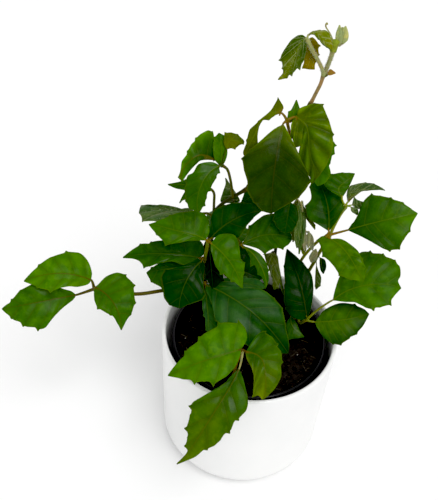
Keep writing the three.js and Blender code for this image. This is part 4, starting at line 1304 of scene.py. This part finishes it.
def blade_surface(surface, down, form, one, random):
    """A leaflet as a closed slab: the curved frame, pillows between side veins, slow waves, and a midrib
    that stands out and fades to the tip. Young ones have down on both faces."""
    leaflet = Leaflet(form)
    tone = form.get("tone", one["tone"])
    size = leaflet.length
    half = leaflet.half
    columns = next(count for least, count in COLUMNS if size > least)
    spacing = max(ROW_SPACING["least"], min(ROW_SPACING["most"], size * ROW_SPACING["share"]))
    r, v, u, b, across, vein = leaflet.grid(spacing, columns)
    quilt = form.get("pleat", QUILT.get(tone, PLAIN_QUILT) * min(1, half / PILLOW["full_half"]))
    pillow = quilt * (1 - bell(vein, PILLOW["off_vein"])) * (1 - bell(across, PILLOW["off_rib"]))
    middle = leaflet.place(u, b, pillow + waves(u, b, half, random))
    normal = unit(np.cross(np.gradient(middle, axis=1), np.gradient(middle, axis=0)))
    fine = min(1, size / RIB["full_size"])
    rib = RIB["high"] * (1 - RIB["fade"] * r[:, None]) * bell(across, RIB["wide"])
    outward = np.clip(np.abs(b) / half, 0, 1)
    fading = 1 - SIDE_VEIN["fade"] * outward
    veins = SIDE_VEIN["high"] * fading * bell(vein, SIDE_VEIN["wide"]) * (across > SIDE_VEIN["off_rib"])
    thick = SLAB["middle"] + (SLAB["edge"] - SLAB["middle"]) * np.abs(v) ** 3
    thick = thick * min(1, SLAB["least"] + size / SLAB["full_size"])
    top = middle + normal * (thick / 2 + RIB["above"] * rib * fine)[..., None]
    under = middle - normal * (thick / 2 + (RIB["below"] * rib + veins) * fine)[..., None]
    # Painted shade: the green is darker in the quilting's hollows and paler on its tops.
    painted_quilt_shade = 1 + form.get("valley", VALLEY_SHADE) * (pillow / quilt - VALLEY_EVEN)
    surface.add(
        np.stack([top, under]),
        slab_faces(*u.shape),
        tone=blade_tone(form, tone, r, v, random) * painted_quilt_shade[..., None],
        age=AGE.get(tone, PLAIN_AGE),
        ruddy=form.get("ruddy", one["ruddy"]),
        faint=form.get("faint", 0.0),
        under=np.array([0.0, 1.0])[:, None, None],
        across=across,
        vein=vein,
        along=r[:, None],
        edge=np.abs(v),
    )
    if tone in DOWN_ON_BLADE:
        count = int(DOWN_ON_BLADE[tone] * size * half)
        i, j = random.integers(1, len(r) - 1, count), random.integers(0, columns, count)
        side = random.choice([-1.0, 1.0], count)[:, None]
        strew_down(down, np.where(side > 0, top[i, j], under[i, j]), normal[i, j] * side, random)
    return leaflet


# Finishes


class Value:
    """A socket of a material's nodes. Arithmetic on it adds Math nodes."""

    def __init__(self, finish, socket):
        self.finish = finish
        self.socket = socket

    def math(self, operation, first, second):
        return self.finish.node("ShaderNodeMath", dict(operation=operation), {0: first, 1: second})

    def __add__(self, other):
        return self.math("ADD", self, other)

    def __sub__(self, other):
        return self.math("SUBTRACT", self, other)

    def __rsub__(self, other):
        return self.math("SUBTRACT", other, self)

    def __mul__(self, other):
        return self.math("MULTIPLY", self, other)

    def __truediv__(self, other):
        return self.math("DIVIDE", self, other)

    def __rtruediv__(self, other):
        return self.math("DIVIDE", other, self)

    __radd__ = __add__
    __rmul__ = __mul__

    def between(self, low, high):
        """0 below low, 1 above high, smooth between."""
        sockets = {"Value": self, "From Min": low, "From Max": high}
        return self.finish.node("ShaderNodeMapRange", dict(interpolation_type="SMOOTHSTEP"), sockets)


class Finish:
    """A material whose shader is one Principled BSDF."""

    def __init__(self, name, **fixed):
        self.material = bpy.data.materials.new(name)
        self.material.use_nodes = True
        self.tree = self.material.node_tree
        self.shader = self.tree.nodes["Principled BSDF"]
        for socket, value in fixed.items():
            self.shader.inputs[socket.replace("_", " ")].default_value = value
        place = self.tree.nodes.new("ShaderNodeTexCoord")
        self.place = Value(self, place.outputs["Object"])

    def node(self, kind, settings=None, sockets=None, output=0):
        made = self.tree.nodes.new(kind)
        for key, value in (settings or {}).items():
            setattr(made, key, value)
        for key, value in (sockets or {}).items():
            if isinstance(value, Value):
                self.tree.links.new(value.socket, made.inputs[key])
            else:
                made.inputs[key].default_value = value
        return Value(self, made.outputs[output])

    def attribute(self, name, output="Fac"):
        return self.node("ShaderNodeAttribute", dict(attribute_name=name), output=output)

    def noise(self, scale, detail=3, roughness=0.55):
        sockets = dict(Vector=self.place, Scale=scale, Detail=detail, Roughness=roughness)
        return self.node("ShaderNodeTexNoise", {}, sockets)

    def cells(self, scale, feature="DISTANCE_TO_EDGE"):
        return self.node("ShaderNodeTexVoronoi", dict(feature=feature), dict(Vector=self.place, Scale=scale))

    def mix(self, share, first, second, blend="MIX"):
        sockets = {0: share, 6: first, 7: second}
        return self.node("ShaderNodeMix", dict(data_type="RGBA", blend_type=blend), sockets, output=2)

    def feed(self, **sockets):
        for socket, value in sockets.items():
            self.tree.links.new(value.socket, self.shader.inputs[socket.replace("_", " ")])

    def bump(self, height, distance, strength=1.0):
        sockets = dict(Height=height, Distance=distance, Strength=strength)
        self.feed(Normal=self.node("ShaderNodeBump", {}, sockets))


def rgba(red, green, blue):
    return (red, green, blue, 1)


def leaf_finish():
    """Leaf skin: the leaflet's green, which carries its painted light and shade, in soft patches, a paler
    underside, fine veins a little yellower than the blade, and a faint net between them. Old leaves are
    smooth and young ones dull with down."""
    skin = Finish(
        "leaf_skin",
        Subsurface_Weight=0.08,
        Subsurface_Scale=0.001,
        Subsurface_Radius=(0.45, 1.0, 0.12),
        Specular_IOR_Level=0.06,
        Coat_Roughness=0.24,
    )
    tone = skin.attribute("tone", "Color")
    age = skin.attribute("age")
    ruddy = skin.attribute("ruddy")
    shown = 1 - skin.attribute("faint")
    under = skin.attribute("under")
    across = skin.attribute("across")
    vein = skin.attribute("vein")
    along = skin.attribute("along")
    edge = skin.attribute("edge")

    # patches, large ones first, and the net
    yellower = skin.mix(1.0, tone, rgba(1.5, 1.22, 1.0), "MULTIPLY")
    darker = skin.mix(1.0, tone, rgba(0.5, 0.68, 0.9), "MULTIPLY")
    net = 1 - skin.cells(620).between(0.02, 0.16)
    colour = skin.mix(skin.noise(55, 2).between(0.38, 0.66) * 0.65, tone, yellower)
    colour = skin.mix(skin.noise(90, 3).between(0.4, 0.7) * 0.65, colour, darker)
    colour = skin.mix(skin.noise(210, 2).between(0.48, 0.66) * 0.7, colour, yellower)
    colour = skin.mix(net * 0.12, colour, yellower)
    colour = skin.mix(under * 0.6, colour, skin.mix(0.45, tone, rgba(0.16, 0.22, 0.04)))

    # side veins and midrib
    side_vein = (1 - vein.between(0.1, 0.36)) * (1 - edge.between(0.7, 1.0) * 0.7)
    sappy_vein = skin.mix(0.3, yellower, rgba(0.15, 0.2, 0.01))
    vein_tone = skin.mix(ruddy * 0.8, sappy_vein, rgba(0.05, 0.06, 0.002))
    colour = skin.mix(side_vein * shown * (0.38 + under * 0.3), colour, vein_tone)
    rib = 1 - (across / (0.5 - along * 0.3)).between(0.45, 1.1)
    rib_tone = skin.mix(0.5, rgba(0.14, 0.2, 0.01), tone)
    rib_tone = skin.mix(ruddy, rib_tone, rgba(0.085, 0.045, 0.003))
    colour = skin.mix(rib * shown * (0.85 - along * 0.4), colour, rib_tone)

    # silvery down along young veins, which on the grey leaf seen edge on is a painted sheen, a yellow edge
    # and a rusty base
    silver = 1 - age.between(0.12, 0.3)
    silver_down_and_sheen = (1 - vein.between(0.1, 0.5)) * 0.4 + skin.noise(420, 3).between(0.45, 0.7) * 0.15
    colour = skin.mix(silver * silver_down_and_sheen, colour, rgba(0.33, 0.38, 0.17))
    colour = skin.mix(edge.between(0.93, 1.0) * 0.3, colour, rgba(0.16, 0.22, 0.01))
    rusty = rib * (1 - along.between(0.0, 0.05)) * 0.6
    colour = skin.mix(rusty, colour, rgba(0.16, 0.08, 0.01))

    dull = 0.42 - age * 0.13 + under * 0.2
    rough = dull + skin.noise(300, 2).between(0.3, 0.8) * 0.08 - rib * 0.03
    glint = skin.noise(75, 3).between(0.5, 0.72) * age
    skin.feed(Base_Color=colour, Roughness=rough, Coat_Weight=0.02 + glint * 0.22)
    relief = net * -0.25 + skin.noise(900, 2) * 0.3 + skin.noise(260, 3) * 1.4 + side_vein * -0.4
    skin.bump(relief, 0.0002, 0.6)
    return skin.material


def stem_finish():
    """Stem skin: the bark's own tone in patches, pale in fine flecks, with fine ridges."""
    bark = Finish("stem_skin", Subsurface_Weight=0.05, Subsurface_Scale=0.001, Specular_IOR_Level=0.2)
    tone = bark.attribute("tone", "Color")
    redder = bark.mix(1.0, tone, rgba(1.3, 0.92, 0.85), "MULTIPLY")
    deeper = bark.mix(1.0, tone, rgba(0.55, 0.6, 0.6), "MULTIPLY")
    colour = bark.mix(bark.noise(160, 3).between(0.35, 0.7) * 0.7, tone, redder)
    colour = bark.mix(bark.noise(420, 3).between(0.5, 0.75) * 0.7, colour, deeper)
    fine = bark.noise(2600, 2)
    paler = bark.mix(1.0, tone, rgba(1.7, 1.8, 2.5), "MULTIPLY")
    colour = bark.mix(fine.between(0.55, 0.75) * 0.3, colour, paler)
    bark.feed(Base_Color=colour, Roughness=0.45 + fine * 0.2)
    bark.bump(fine + bark.noise(700, 2) * 0.6, 0.0002, 0.6)
    return bark.material


def hair_finish():
    """Down: dull off-white hairs, paler in places."""
    hair = Finish("down", Roughness=0.7, Subsurface_Weight=0.1, Subsurface_Scale=0.001)
    shade = hair.noise(500, 2).between(0.35, 0.7)
    hair.feed(Base_Color=hair.mix(shade, rgba(0.5, 0.5, 0.36), rgba(0.72, 0.7, 0.58)))
    return hair.material


def glaze_finish():
    """White gloss, clouded between two near-whites, with the slightest waviness."""
    glaze = Finish("white_gloss", Coat_Weight=0.4, Coat_Roughness=0.12, Specular_IOR_Level=0.45)
    cloud = glaze.noise(14, 3).between(0.3, 0.7)
    glaze.feed(
        Base_Color=glaze.mix(cloud, rgba(0.86, 0.865, 0.86), rgba(0.9, 0.9, 0.89)),
        Roughness=0.3 + glaze.noise(60, 3) * 0.08,
    )
    glaze.bump(glaze.noise(30, 3) + glaze.noise(900, 2) * 0.05, 0.0004, 0.25)
    return glaze.material


def nursery_finish():
    """Black moulded plastic, rubbed grey in places and dusty with soil in patches."""
    black = Finish("black_plastic", Specular_IOR_Level=0.25)
    rub = black.noise(90, 4).between(0.5, 0.75)
    dust = black.noise(700, 3).between(0.58, 0.72)
    colour = black.mix(rub * 0.5, rgba(0.004, 0.004, 0.005), rgba(0.013, 0.013, 0.015))
    black.feed(
        Base_Color=black.mix(dust * 0.35, colour, rgba(0.05, 0.04, 0.03)),
        Roughness=0.28 + rub * 0.18 + dust * 0.2,
    )
    black.bump(black.noise(500, 3), 0.0001, 0.4)
    return black.material


def soil_finish():
    """Damp peat: nearly black, brown where it dries, with pale flecks."""
    peat = Finish("potting_soil", Specular_IOR_Level=0.3)
    kind = peat.attribute("kind")
    clods = peat.noise(240, 5, 0.7).between(0.35, 0.7)
    colour = peat.mix(clods, rgba(0.003, 0.0025, 0.002), rgba(0.016, 0.011, 0.008))
    crumbs = peat.noise(1500, 3).between(0.6, 0.72)
    colour = peat.mix(crumbs * 0.35, colour, rgba(0.06, 0.042, 0.027))
    fibre = peat.mix(peat.noise(800, 2), rgba(0.045, 0.036, 0.024), rgba(0.11, 0.09, 0.06))
    colour = peat.mix(kind.between(0.3, 0.6), colour, fibre)
    colour = peat.mix(kind.between(0.8, 0.95), colour, rgba(0.42, 0.4, 0.36))
    peat.feed(Base_Color=colour, Roughness=0.8 + clods * 0.15)
    peat.bump(peat.noise(900, 5, 0.7), 0.0008, 0.9)
    return peat.material


def floor_finish():
    """Plain pale matt."""
    return Finish("floor", Roughness=0.9, Base_Color=rgba(0.93, 0.93, 0.93)).material


# Pots


def turned(profile, sides):
    """A profile of (radius, height) points turned round the upright axis, as a closed grid."""
    profile = np.array(profile, float)
    angle = turns(sides)
    x = profile[:, :1] * np.cos(angle)
    y = profile[:, :1] * np.sin(angle)
    z = profile[:, 1:] + 0 * angle
    return np.stack([x, y, z], axis=-1), grid_faces(len(profile), sides, around=True)


def arc(centre, radius, start, stop, count):
    """Points of an arc in the profile's plane, from one angle in degrees to another. An oval one has its
    radius across and its radius up."""
    angle = np.radians(np.linspace(start, stop, count))
    across, up = np.broadcast_to(radius, 2)
    return [(centre[0] + across * math.cos(a), centre[1] + up * math.sin(a)) for a in angle]


def cover_pot(material):
    """Flat foot, a wide round corner, a nearly straight wall, a round lip, and the inside back down."""
    p = COVER_POT
    rim, foot, height, wall, floor = p["rim"], p["foot"], p["height"], p["wall"], p["floor"]
    wide, high = p["corner_wide"], p["corner_high"]
    flat = foot - wide
    lip = height - wall / 2
    up = np.linspace(0, 1, 9)[1:]
    profile = [(0, 0), (0.5 * flat, 0), (flat - 1, 0)]
    profile += arc((flat, high), (wide, high), -90, 0, 19)
    profile += [(foot + (rim - foot) * t, high + (lip - high) * t) for t in up]
    profile += arc((rim - wall / 2, lip), wall / 2, 10, 170, 11)
    profile += [(rim - wall - (rim - foot) * t, lip - (lip - high) * t) for t in up]
    profile += arc((flat, high + 2), (wide - wall, high - floor), 0, -90, 15)[1:]
    profile += [(0.5 * flat, floor), (0, floor)]
    surface = Surface()
    surface.add(*turned(profile, p["sides"]))
    pot = surface.make("white_cover_pot", material)
    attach(pot, "root")
    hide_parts("cover_pot")


def grower_wall(z):
    """The grower's pot's outer radius at a height, below its rim."""
    share = (z - GROWER_START) / (GROWER_POT["height"] - GROWER_POT["rim_high"])
    return GROWER_POT["foot"] + (GROWER_POT["top"] - GROWER_POT["foot"]) * share


def grower_pot(material):
    """A thin tapered wall with a step out to the rim, whose lip rolls over, and a bead inside it."""
    p = GROWER_POT
    rim, wall, start = p["rim"], p["wall"], GROWER_START
    step = start + p["height"] - p["rim_high"]
    lip = start + p["height"]
    corner, shoulder, lip_round = 2, 0.9, 1.2
    profile = [(0, start), (0.5 * p["foot"], start)]
    profile += arc((grower_wall(start) - corner, start + corner), corner, -90, 0, 6)
    profile += [(grower_wall(z), z) for z in np.linspace(start + 12, step - 1, 8)]
    profile += arc((grower_wall(step) + 1.4, step - 0.4), 1.0, 180, 90, 4)
    profile += arc((rim - shoulder, step + 1.5), shoulder, -90, 0, 4)
    profile += arc((rim - lip_round, lip - lip_round), lip_round, 0, 180, 9)
    profile += [(rim - 2.5, lip - 2), (rim - 2.4, step + 3), (grower_wall(step) + 0.4, step + 1.6)]
    profile += [(grower_wall(step) - wall, step - 0.6)]
    profile += [(grower_wall(z) - wall, z) for z in np.linspace(step - 4, start + 6, 8)]
    profile += [(grower_wall(start) - 3, start + wall), (0, start + wall)]
    surface = Surface()
    surface.add(*turned(profile, p["sides"]))
    pot = surface.make("nursery_pot", material)
    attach(pot, "root")
    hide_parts("grower_pot")


# Soil

# The bed's fine roughness: its height, and so many waves at each scale.
ROUGH = dict(high=0.55, scales=(0.9, 1.7, 3.1), waves=5)
CRUMB, FIBRE, FLECK = 0.0, 0.5, 1.0
# What lies on the bed. The shares are those of the kinds.
LITTER = dict(
    count=2600,
    kinds=(CRUMB, FIBRE, FLECK),
    shares=(0.885, 0.1, 0.015),
    smallest=0.3,
    largest=1.2,
    fleck_size=0.45,
    dents=0.28,
    raised=0.3,
    reach=0.985,
)


def soil_height(x, y):
    """A low dome, level at the pot's wall, with long and short waves that cross."""
    edge = grower_wall(SOIL["level"]) - GROWER_POT["wall"]
    share = np.minimum(np.hypot(x, y) / edge, 1)
    lump = np.sin(0.37 * x + 1.3) * np.cos(0.31 * y) + 0.6 * np.sin(0.83 * y - 0.52 * x)
    return SOIL["level"] + SOIL["dome"] * (1 - share**2) + SOIL["lumps"] * (1 - share**4) * lump


def crumb_shape(sides, rows):
    """A ball of radius 1 as a grid of latitudes and longitudes."""
    lat = np.linspace(-math.pi / 2, math.pi / 2, rows)[:, None]
    lon = turns(sides)
    ball = np.stack([np.cos(lat) * np.cos(lon), np.cos(lat) * np.sin(lon), np.sin(lat) + 0 * lon], axis=-1)
    return ball, grid_faces(rows, sides, around=True)


def level_ring(radius, level, angle):
    """Points at the angles round, at one radius and one height."""
    return np.stack([radius * np.cos(angle), radius * np.sin(angle), level + 0 * angle], axis=-1)


def soil_bed(material, random):
    """The dome, roughened by waves that run all ways, on a plug that fills the grower's pot."""
    edge = grower_wall(SOIL["level"]) - GROWER_POT["wall"] - SOIL["off_wall"]
    radius = np.linspace(0, edge, SOIL["rings"])[:, None]
    angle = turns(SOIL["sides"])
    x = radius * np.cos(angle)
    y = radius * np.sin(angle)
    rough = np.zeros(x.shape)
    for scale in ROUGH["scales"]:
        headings = random.uniform(0, 2 * math.pi, ROUGH["waves"])
        for heading, shift in zip(headings, 3 * np.roll(headings, 1)):
            rough += np.sin(scale * (x * math.cos(heading) + y * math.sin(heading)) + shift) / scale / 3
    z = soil_height(x, y) + ROUGH["high"] * rough * (1 - (radius / edge) ** 8)
    rings = list(np.stack([x, y, z], axis=-1))
    bottom = GROWER_START + GROWER_POT["wall"] + GAP
    for level in (SOIL["level"] - 4, bottom + 3):
        inside = grower_wall(level) - GROWER_POT["wall"] - SOIL["off_wall_below"]
        rings.append(level_ring(inside, level, angle))
    rings.append(level_ring(0, bottom, angle))
    surface = Surface()
    surface.add(np.array(rings)[::-1], grid_faces(len(rings), len(angle), around=True), kind=CRUMB)
    bed = surface.make("soil_bed", material)
    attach(bed, "root")
    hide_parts("soil")


def soil_crumbs(material, random):
    """Crumbs, long fibres and a few pale flecks strewn over the bed. Each is a dented ball, stretched and
    turned a random way."""
    edge = grower_wall(SOIL["level"]) - GROWER_POT["wall"] - SOIL["off_wall"]
    litter = Surface()
    ball, faces = crumb_shape(6, 5)
    count = LITTER["count"]
    spots = edge * LITTER["reach"] * np.sqrt(random.uniform(0, 1, count))
    headings = random.uniform(0, 2 * math.pi, count)
    kinds = random.choice(LITTER["kinds"], count, p=LITTER["shares"])
    sizes = random.uniform(LITTER["smallest"], LITTER["largest"], count)
    sizes = sizes * np.where(kinds == FLECK, LITTER["fleck_size"], 1.0)
    for spot, heading, kind, size in zip(spots, headings, kinds, sizes):
        stretch = np.array([1, random.uniform(0.5, 1), random.uniform(0.5, 0.9)]) * size
        if kind == FIBRE:
            stretch = np.array([random.uniform(1.5, 4), 0.35, 0.3]) * size
        dents = LITTER["dents"] * random.standard_normal(ball.shape[:2])
        dents[[0, -1]] = dents[[0, -1], :1]
        x, y, z = np.moveaxis(ball * (1 + dents[..., None]) * stretch, -1, 0)
        spin = random.uniform(0, 2 * math.pi)
        c, s = math.cos(spin), math.sin(spin)
        px, py = spot * math.cos(heading), spot * math.sin(heading)
        lift = soil_height(px, py) + LITTER["raised"] * stretch[2]
        litter.add(np.stack([x * c - y * s + px, x * s + y * c + py, z + lift], axis=-1), faces, kind=kind)
    crumbs = litter.make("soil_crumbs", material)
    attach(crumbs, "root")


# Leafy stems

# A piece of gathered blades is closed once it holds this many triangles.
FULL_PIECE = 140_000
# A stretch's radius between its joints, as a share of its given one.
WAIST = 0.95
# How much a stretch and a petiole swell at both ends, and how many radii the swelling reaches.
STRETCH_SWELL = (1.2, 1.3)
PETIOLE_SWELL = (1.35, 1.3)
SWELL_REACH = 2.2
# How many sides each round piece has, and a tendril's radius with its tip's thickening.
SIDES = dict(stem=14, petiole=12, stalk=10, tendril=10)
TENDRIL = dict(thin=0.4, club=0.45, late=8)
SMOOTH_BARKS = ("lime", "sprout", "downy")
JOINT = dict(strength=0.35, wide=0.05, least=0.4, by_tone=2)
# A leaflet's stalk: its radius at both ends, as shares of the petiole's, how it runs on under the blade, and
# how it starts from the hub, or from just behind a base that lies at the hub.
STALK = dict(
    foot=1.1,
    end=0.45,
    thick=0.8,
    least=0.5,
    full_size=60,
    inside=2,
    inside_share=0.05,
    dip=0.12,
    dip_start=0.55,
    at_hub=0.6,
    behind=1.2,
)


def swelling(path, thick, ends):
    """A path's radius in millimetres: thick along it, and swollen by the given factor at each end. With it
    comes each point's share of the path."""
    run = run_along(path)
    reach = SWELL_REACH * thick
    from_start = bell(run, reach)
    from_end = bell(run[-1] - run, reach)
    return thick * (1 + (ends[0] - 1) * from_start + (ends[1] - 1) * from_end), run / run[-1]


def bark_along(bark, share):
    """A stretch's own tone, redder and darker for a little way beside each joint."""
    strength = 0.0 if bark in SMOOTH_BARKS else JOINT["strength"]
    joint = bell(np.minimum(share, 1 - share), JOINT["wide"])[:, None] * strength
    joint_tone = np.array(JOINT_BARK) * (JOINT["least"] + JOINT["by_tone"] * max(BARKS[bark]))
    return np.array(BARKS[bark]) * (1 - joint) + joint_tone * joint


def petiole_and_stalks(surface, one, leaflets):
    """The petiole, swollen at the stem and at the hub, and a short stalk to each leaflet's base, which dips
    a little before it and runs on into the midrib."""
    path = smooth_path(one["petiole"], 8)
    radius, share = swelling(path, one["thick"] * WAIST, PETIOLE_SWELL)
    carry_round(surface, path, radius, SIDES["petiole"], bark_along(one["bark"], share))
    hub = one["petiole"][-1]
    for leaflet in leaflets:
        start = hub
        if np.linalg.norm(hub - leaflet.base) <= STALK["at_hub"]:
            start = leaflet.base - STALK["behind"] * leaflet.e
        reach = np.linalg.norm(leaflet.base - start)
        inside = min(STALK["inside"], STALK["inside_share"] * leaflet.length)
        end = leaflet.base + leaflet.e * inside + leaflet.n * leaflet.height(inside / leaflet.length, 0.0)
        dip = leaflet.base - leaflet.e * STALK["dip"] * reach
        stalk = smooth_path([start, start + STALK["dip_start"] * (dip - start), leaflet.base, end], 5)
        thick = STALK["thick"] * one["thick"] * min(1, STALK["least"] + leaflet.length / STALK["full_size"])
        radius = np.linspace(STALK["foot"], STALK["end"], len(stalk)) * thick
        carry_round(surface, stalk, radius, SIDES["stalk"], BARKS[leaflet.form.get("bark", one["hub"])])


def leafy_stem(form, leaf_skin, stem_skin, down_skin, random):
    """The stem with its petioles is one piece, its blades are gathered in pieces of a few leaves each, and
    its young parts' down is one more."""
    name = form["name"]
    axis = Surface()
    down = Surface()
    foot = [mm(*form["foot"], SOIL["level"] - STEM_FOOT_DEPTH), mm(*form["foot"], SOIL["level"] + 3)]
    carry_round(axis, smooth_path(foot, 6), form["thick"], SIDES["stem"], BARKS["dark"])
    for thick, bark, points in form["stretches"]:
        path = smooth_path(points, 10)
        radius, share = swelling(path, thick * WAIST, STRETCH_SWELL)
        carry_round(axis, path, radius, SIDES["stem"], bark_along(bark, share))
        if bark in DOWN_ON_BARK:
            down_along(down, path, radius.mean(), DOWN_ON_BARK[bark], random)
    for points in form["tendrils"]:
        path = smooth_path(points, 10)
        radius = TENDRIL["thin"] + TENDRIL["club"] * np.linspace(0, 1, len(path)) ** TENDRIL["late"]
        carry_round(axis, path, radius, SIDES["tendril"], BARKS["sprout"])
    blades = Surface()
    parts = [blades]
    for one in form["leaves"]:
        if blades.triangles() > FULL_PIECE:
            blades = Surface()
            parts.append(blades)
        leaflets = [blade_surface(blades, down, blade_form, one, random) for blade_form in one["blades"]]
        petiole_and_stalks(axis, one, leaflets)
        if one["bark"] in DOWN_ON_BARK:
            down_along(down, smooth_path(one["petiole"], 8), one["thick"], DOWN_ON_BARK[one["bark"]], random)
    pieces = [axis.make(name + "_axis", stem_skin)]
    for number, part in enumerate(parts):
        pieces.append(part.make(f"{name}_leaves_{number + 1}", leaf_skin))
    if down.count:
        pieces.append(down.make(name + "_down", down_skin))
    for piece in pieces:
        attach(piece, "root")
        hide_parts(name)


# Stage

WORLD_STRENGTH = 0.64
BLACK_LEVEL = 0.011
# Each sun's name, the way to it, how wide it is in degrees and its strength.
SUNS = [
    ("key", (0.26, -0.54, 1.0), 34, 1.55),
    ("back", (-0.1, 0.9, 1.0), 40, 0.2),
]
FLOOR = dict(half=3000, height=-0.2)


def camera():
    """The photograph's camera: an upright frame with the long side's 500 pixels on a 36 mm sensor."""
    made = bpy.data.objects.new("camera", bpy.data.cameras.new("camera"))
    bpy.context.scene.collection.objects.link(made)
    made.data.lens = FOCAL_PX / PHOTO_HEIGHT_PX * SENSOR_MM
    made.data.sensor_width = SENSOR_MM
    made.data.clip_start = 0.01
    turn = Matrix([ACROSS, UPWARD, -FORWARD]).transposed()
    made.matrix_world = Matrix.Translation(Vector(EYE * MM)) @ turn.to_4x4()
    bpy.context.scene.camera = made


def soft_sun(name, towards, wide, strength):
    """A lamp as far off as the sun, so that the whole floor is as bright."""
    lamp = bpy.data.lights.new(name, "SUN")
    lamp.angle = math.radians(wide)
    lamp.energy = strength
    made = bpy.data.objects.new(name, lamp)
    made.rotation_euler = (-Vector(towards)).to_track_quat("-Z", "Y").to_euler()
    bpy.context.scene.collection.objects.link(made)


def stage():
    """A pale floor under soft light from above, with a white surround."""
    x, y = np.meshgrid([-FLOOR["half"], FLOOR["half"]], [-FLOOR["half"], FLOOR["half"]])
    surface = Surface()
    surface.add(np.stack([x, y, FLOOR["height"] + 0 * x], axis=-1), grid_faces(2, 2))
    floor = surface.make("floor", floor_finish())
    world = bpy.data.worlds.new("white")
    world.use_nodes = True
    background = world.node_tree.nodes["Background"].inputs
    background["Color"].default_value = rgba(1, 1, 1)
    background["Strength"].default_value = WORLD_STRENGTH
    bpy.context.scene.world = world
    for sun in SUNS:
        soft_sun(*sun)


def deep_greens():
    """The picture's own greens, plain but for a black level that deepens the darkest."""
    view = bpy.context.scene.view_settings
    view.view_transform = "Standard"
    view.use_curve_mapping = True
    view.curve_mapping.black_level = (BLACK_LEVEL, BLACK_LEVEL, BLACK_LEVEL)
    view.curve_mapping.update()


def main():
    camera()
    stage()
    deep_greens()
    random = np.random.default_rng(SEED)
    leaf_skin = leaf_finish()
    stem_skin = stem_finish()
    down_skin = hair_finish()
    cover_pot(glaze_finish())
    grower_pot(nursery_finish())
    peat = soil_finish()
    soil_bed(peat, random)
    soil_crumbs(peat, random)
    for form in STEMS:
        leafy_stem(form, leaf_skin, stem_skin, down_skin, random)


main()
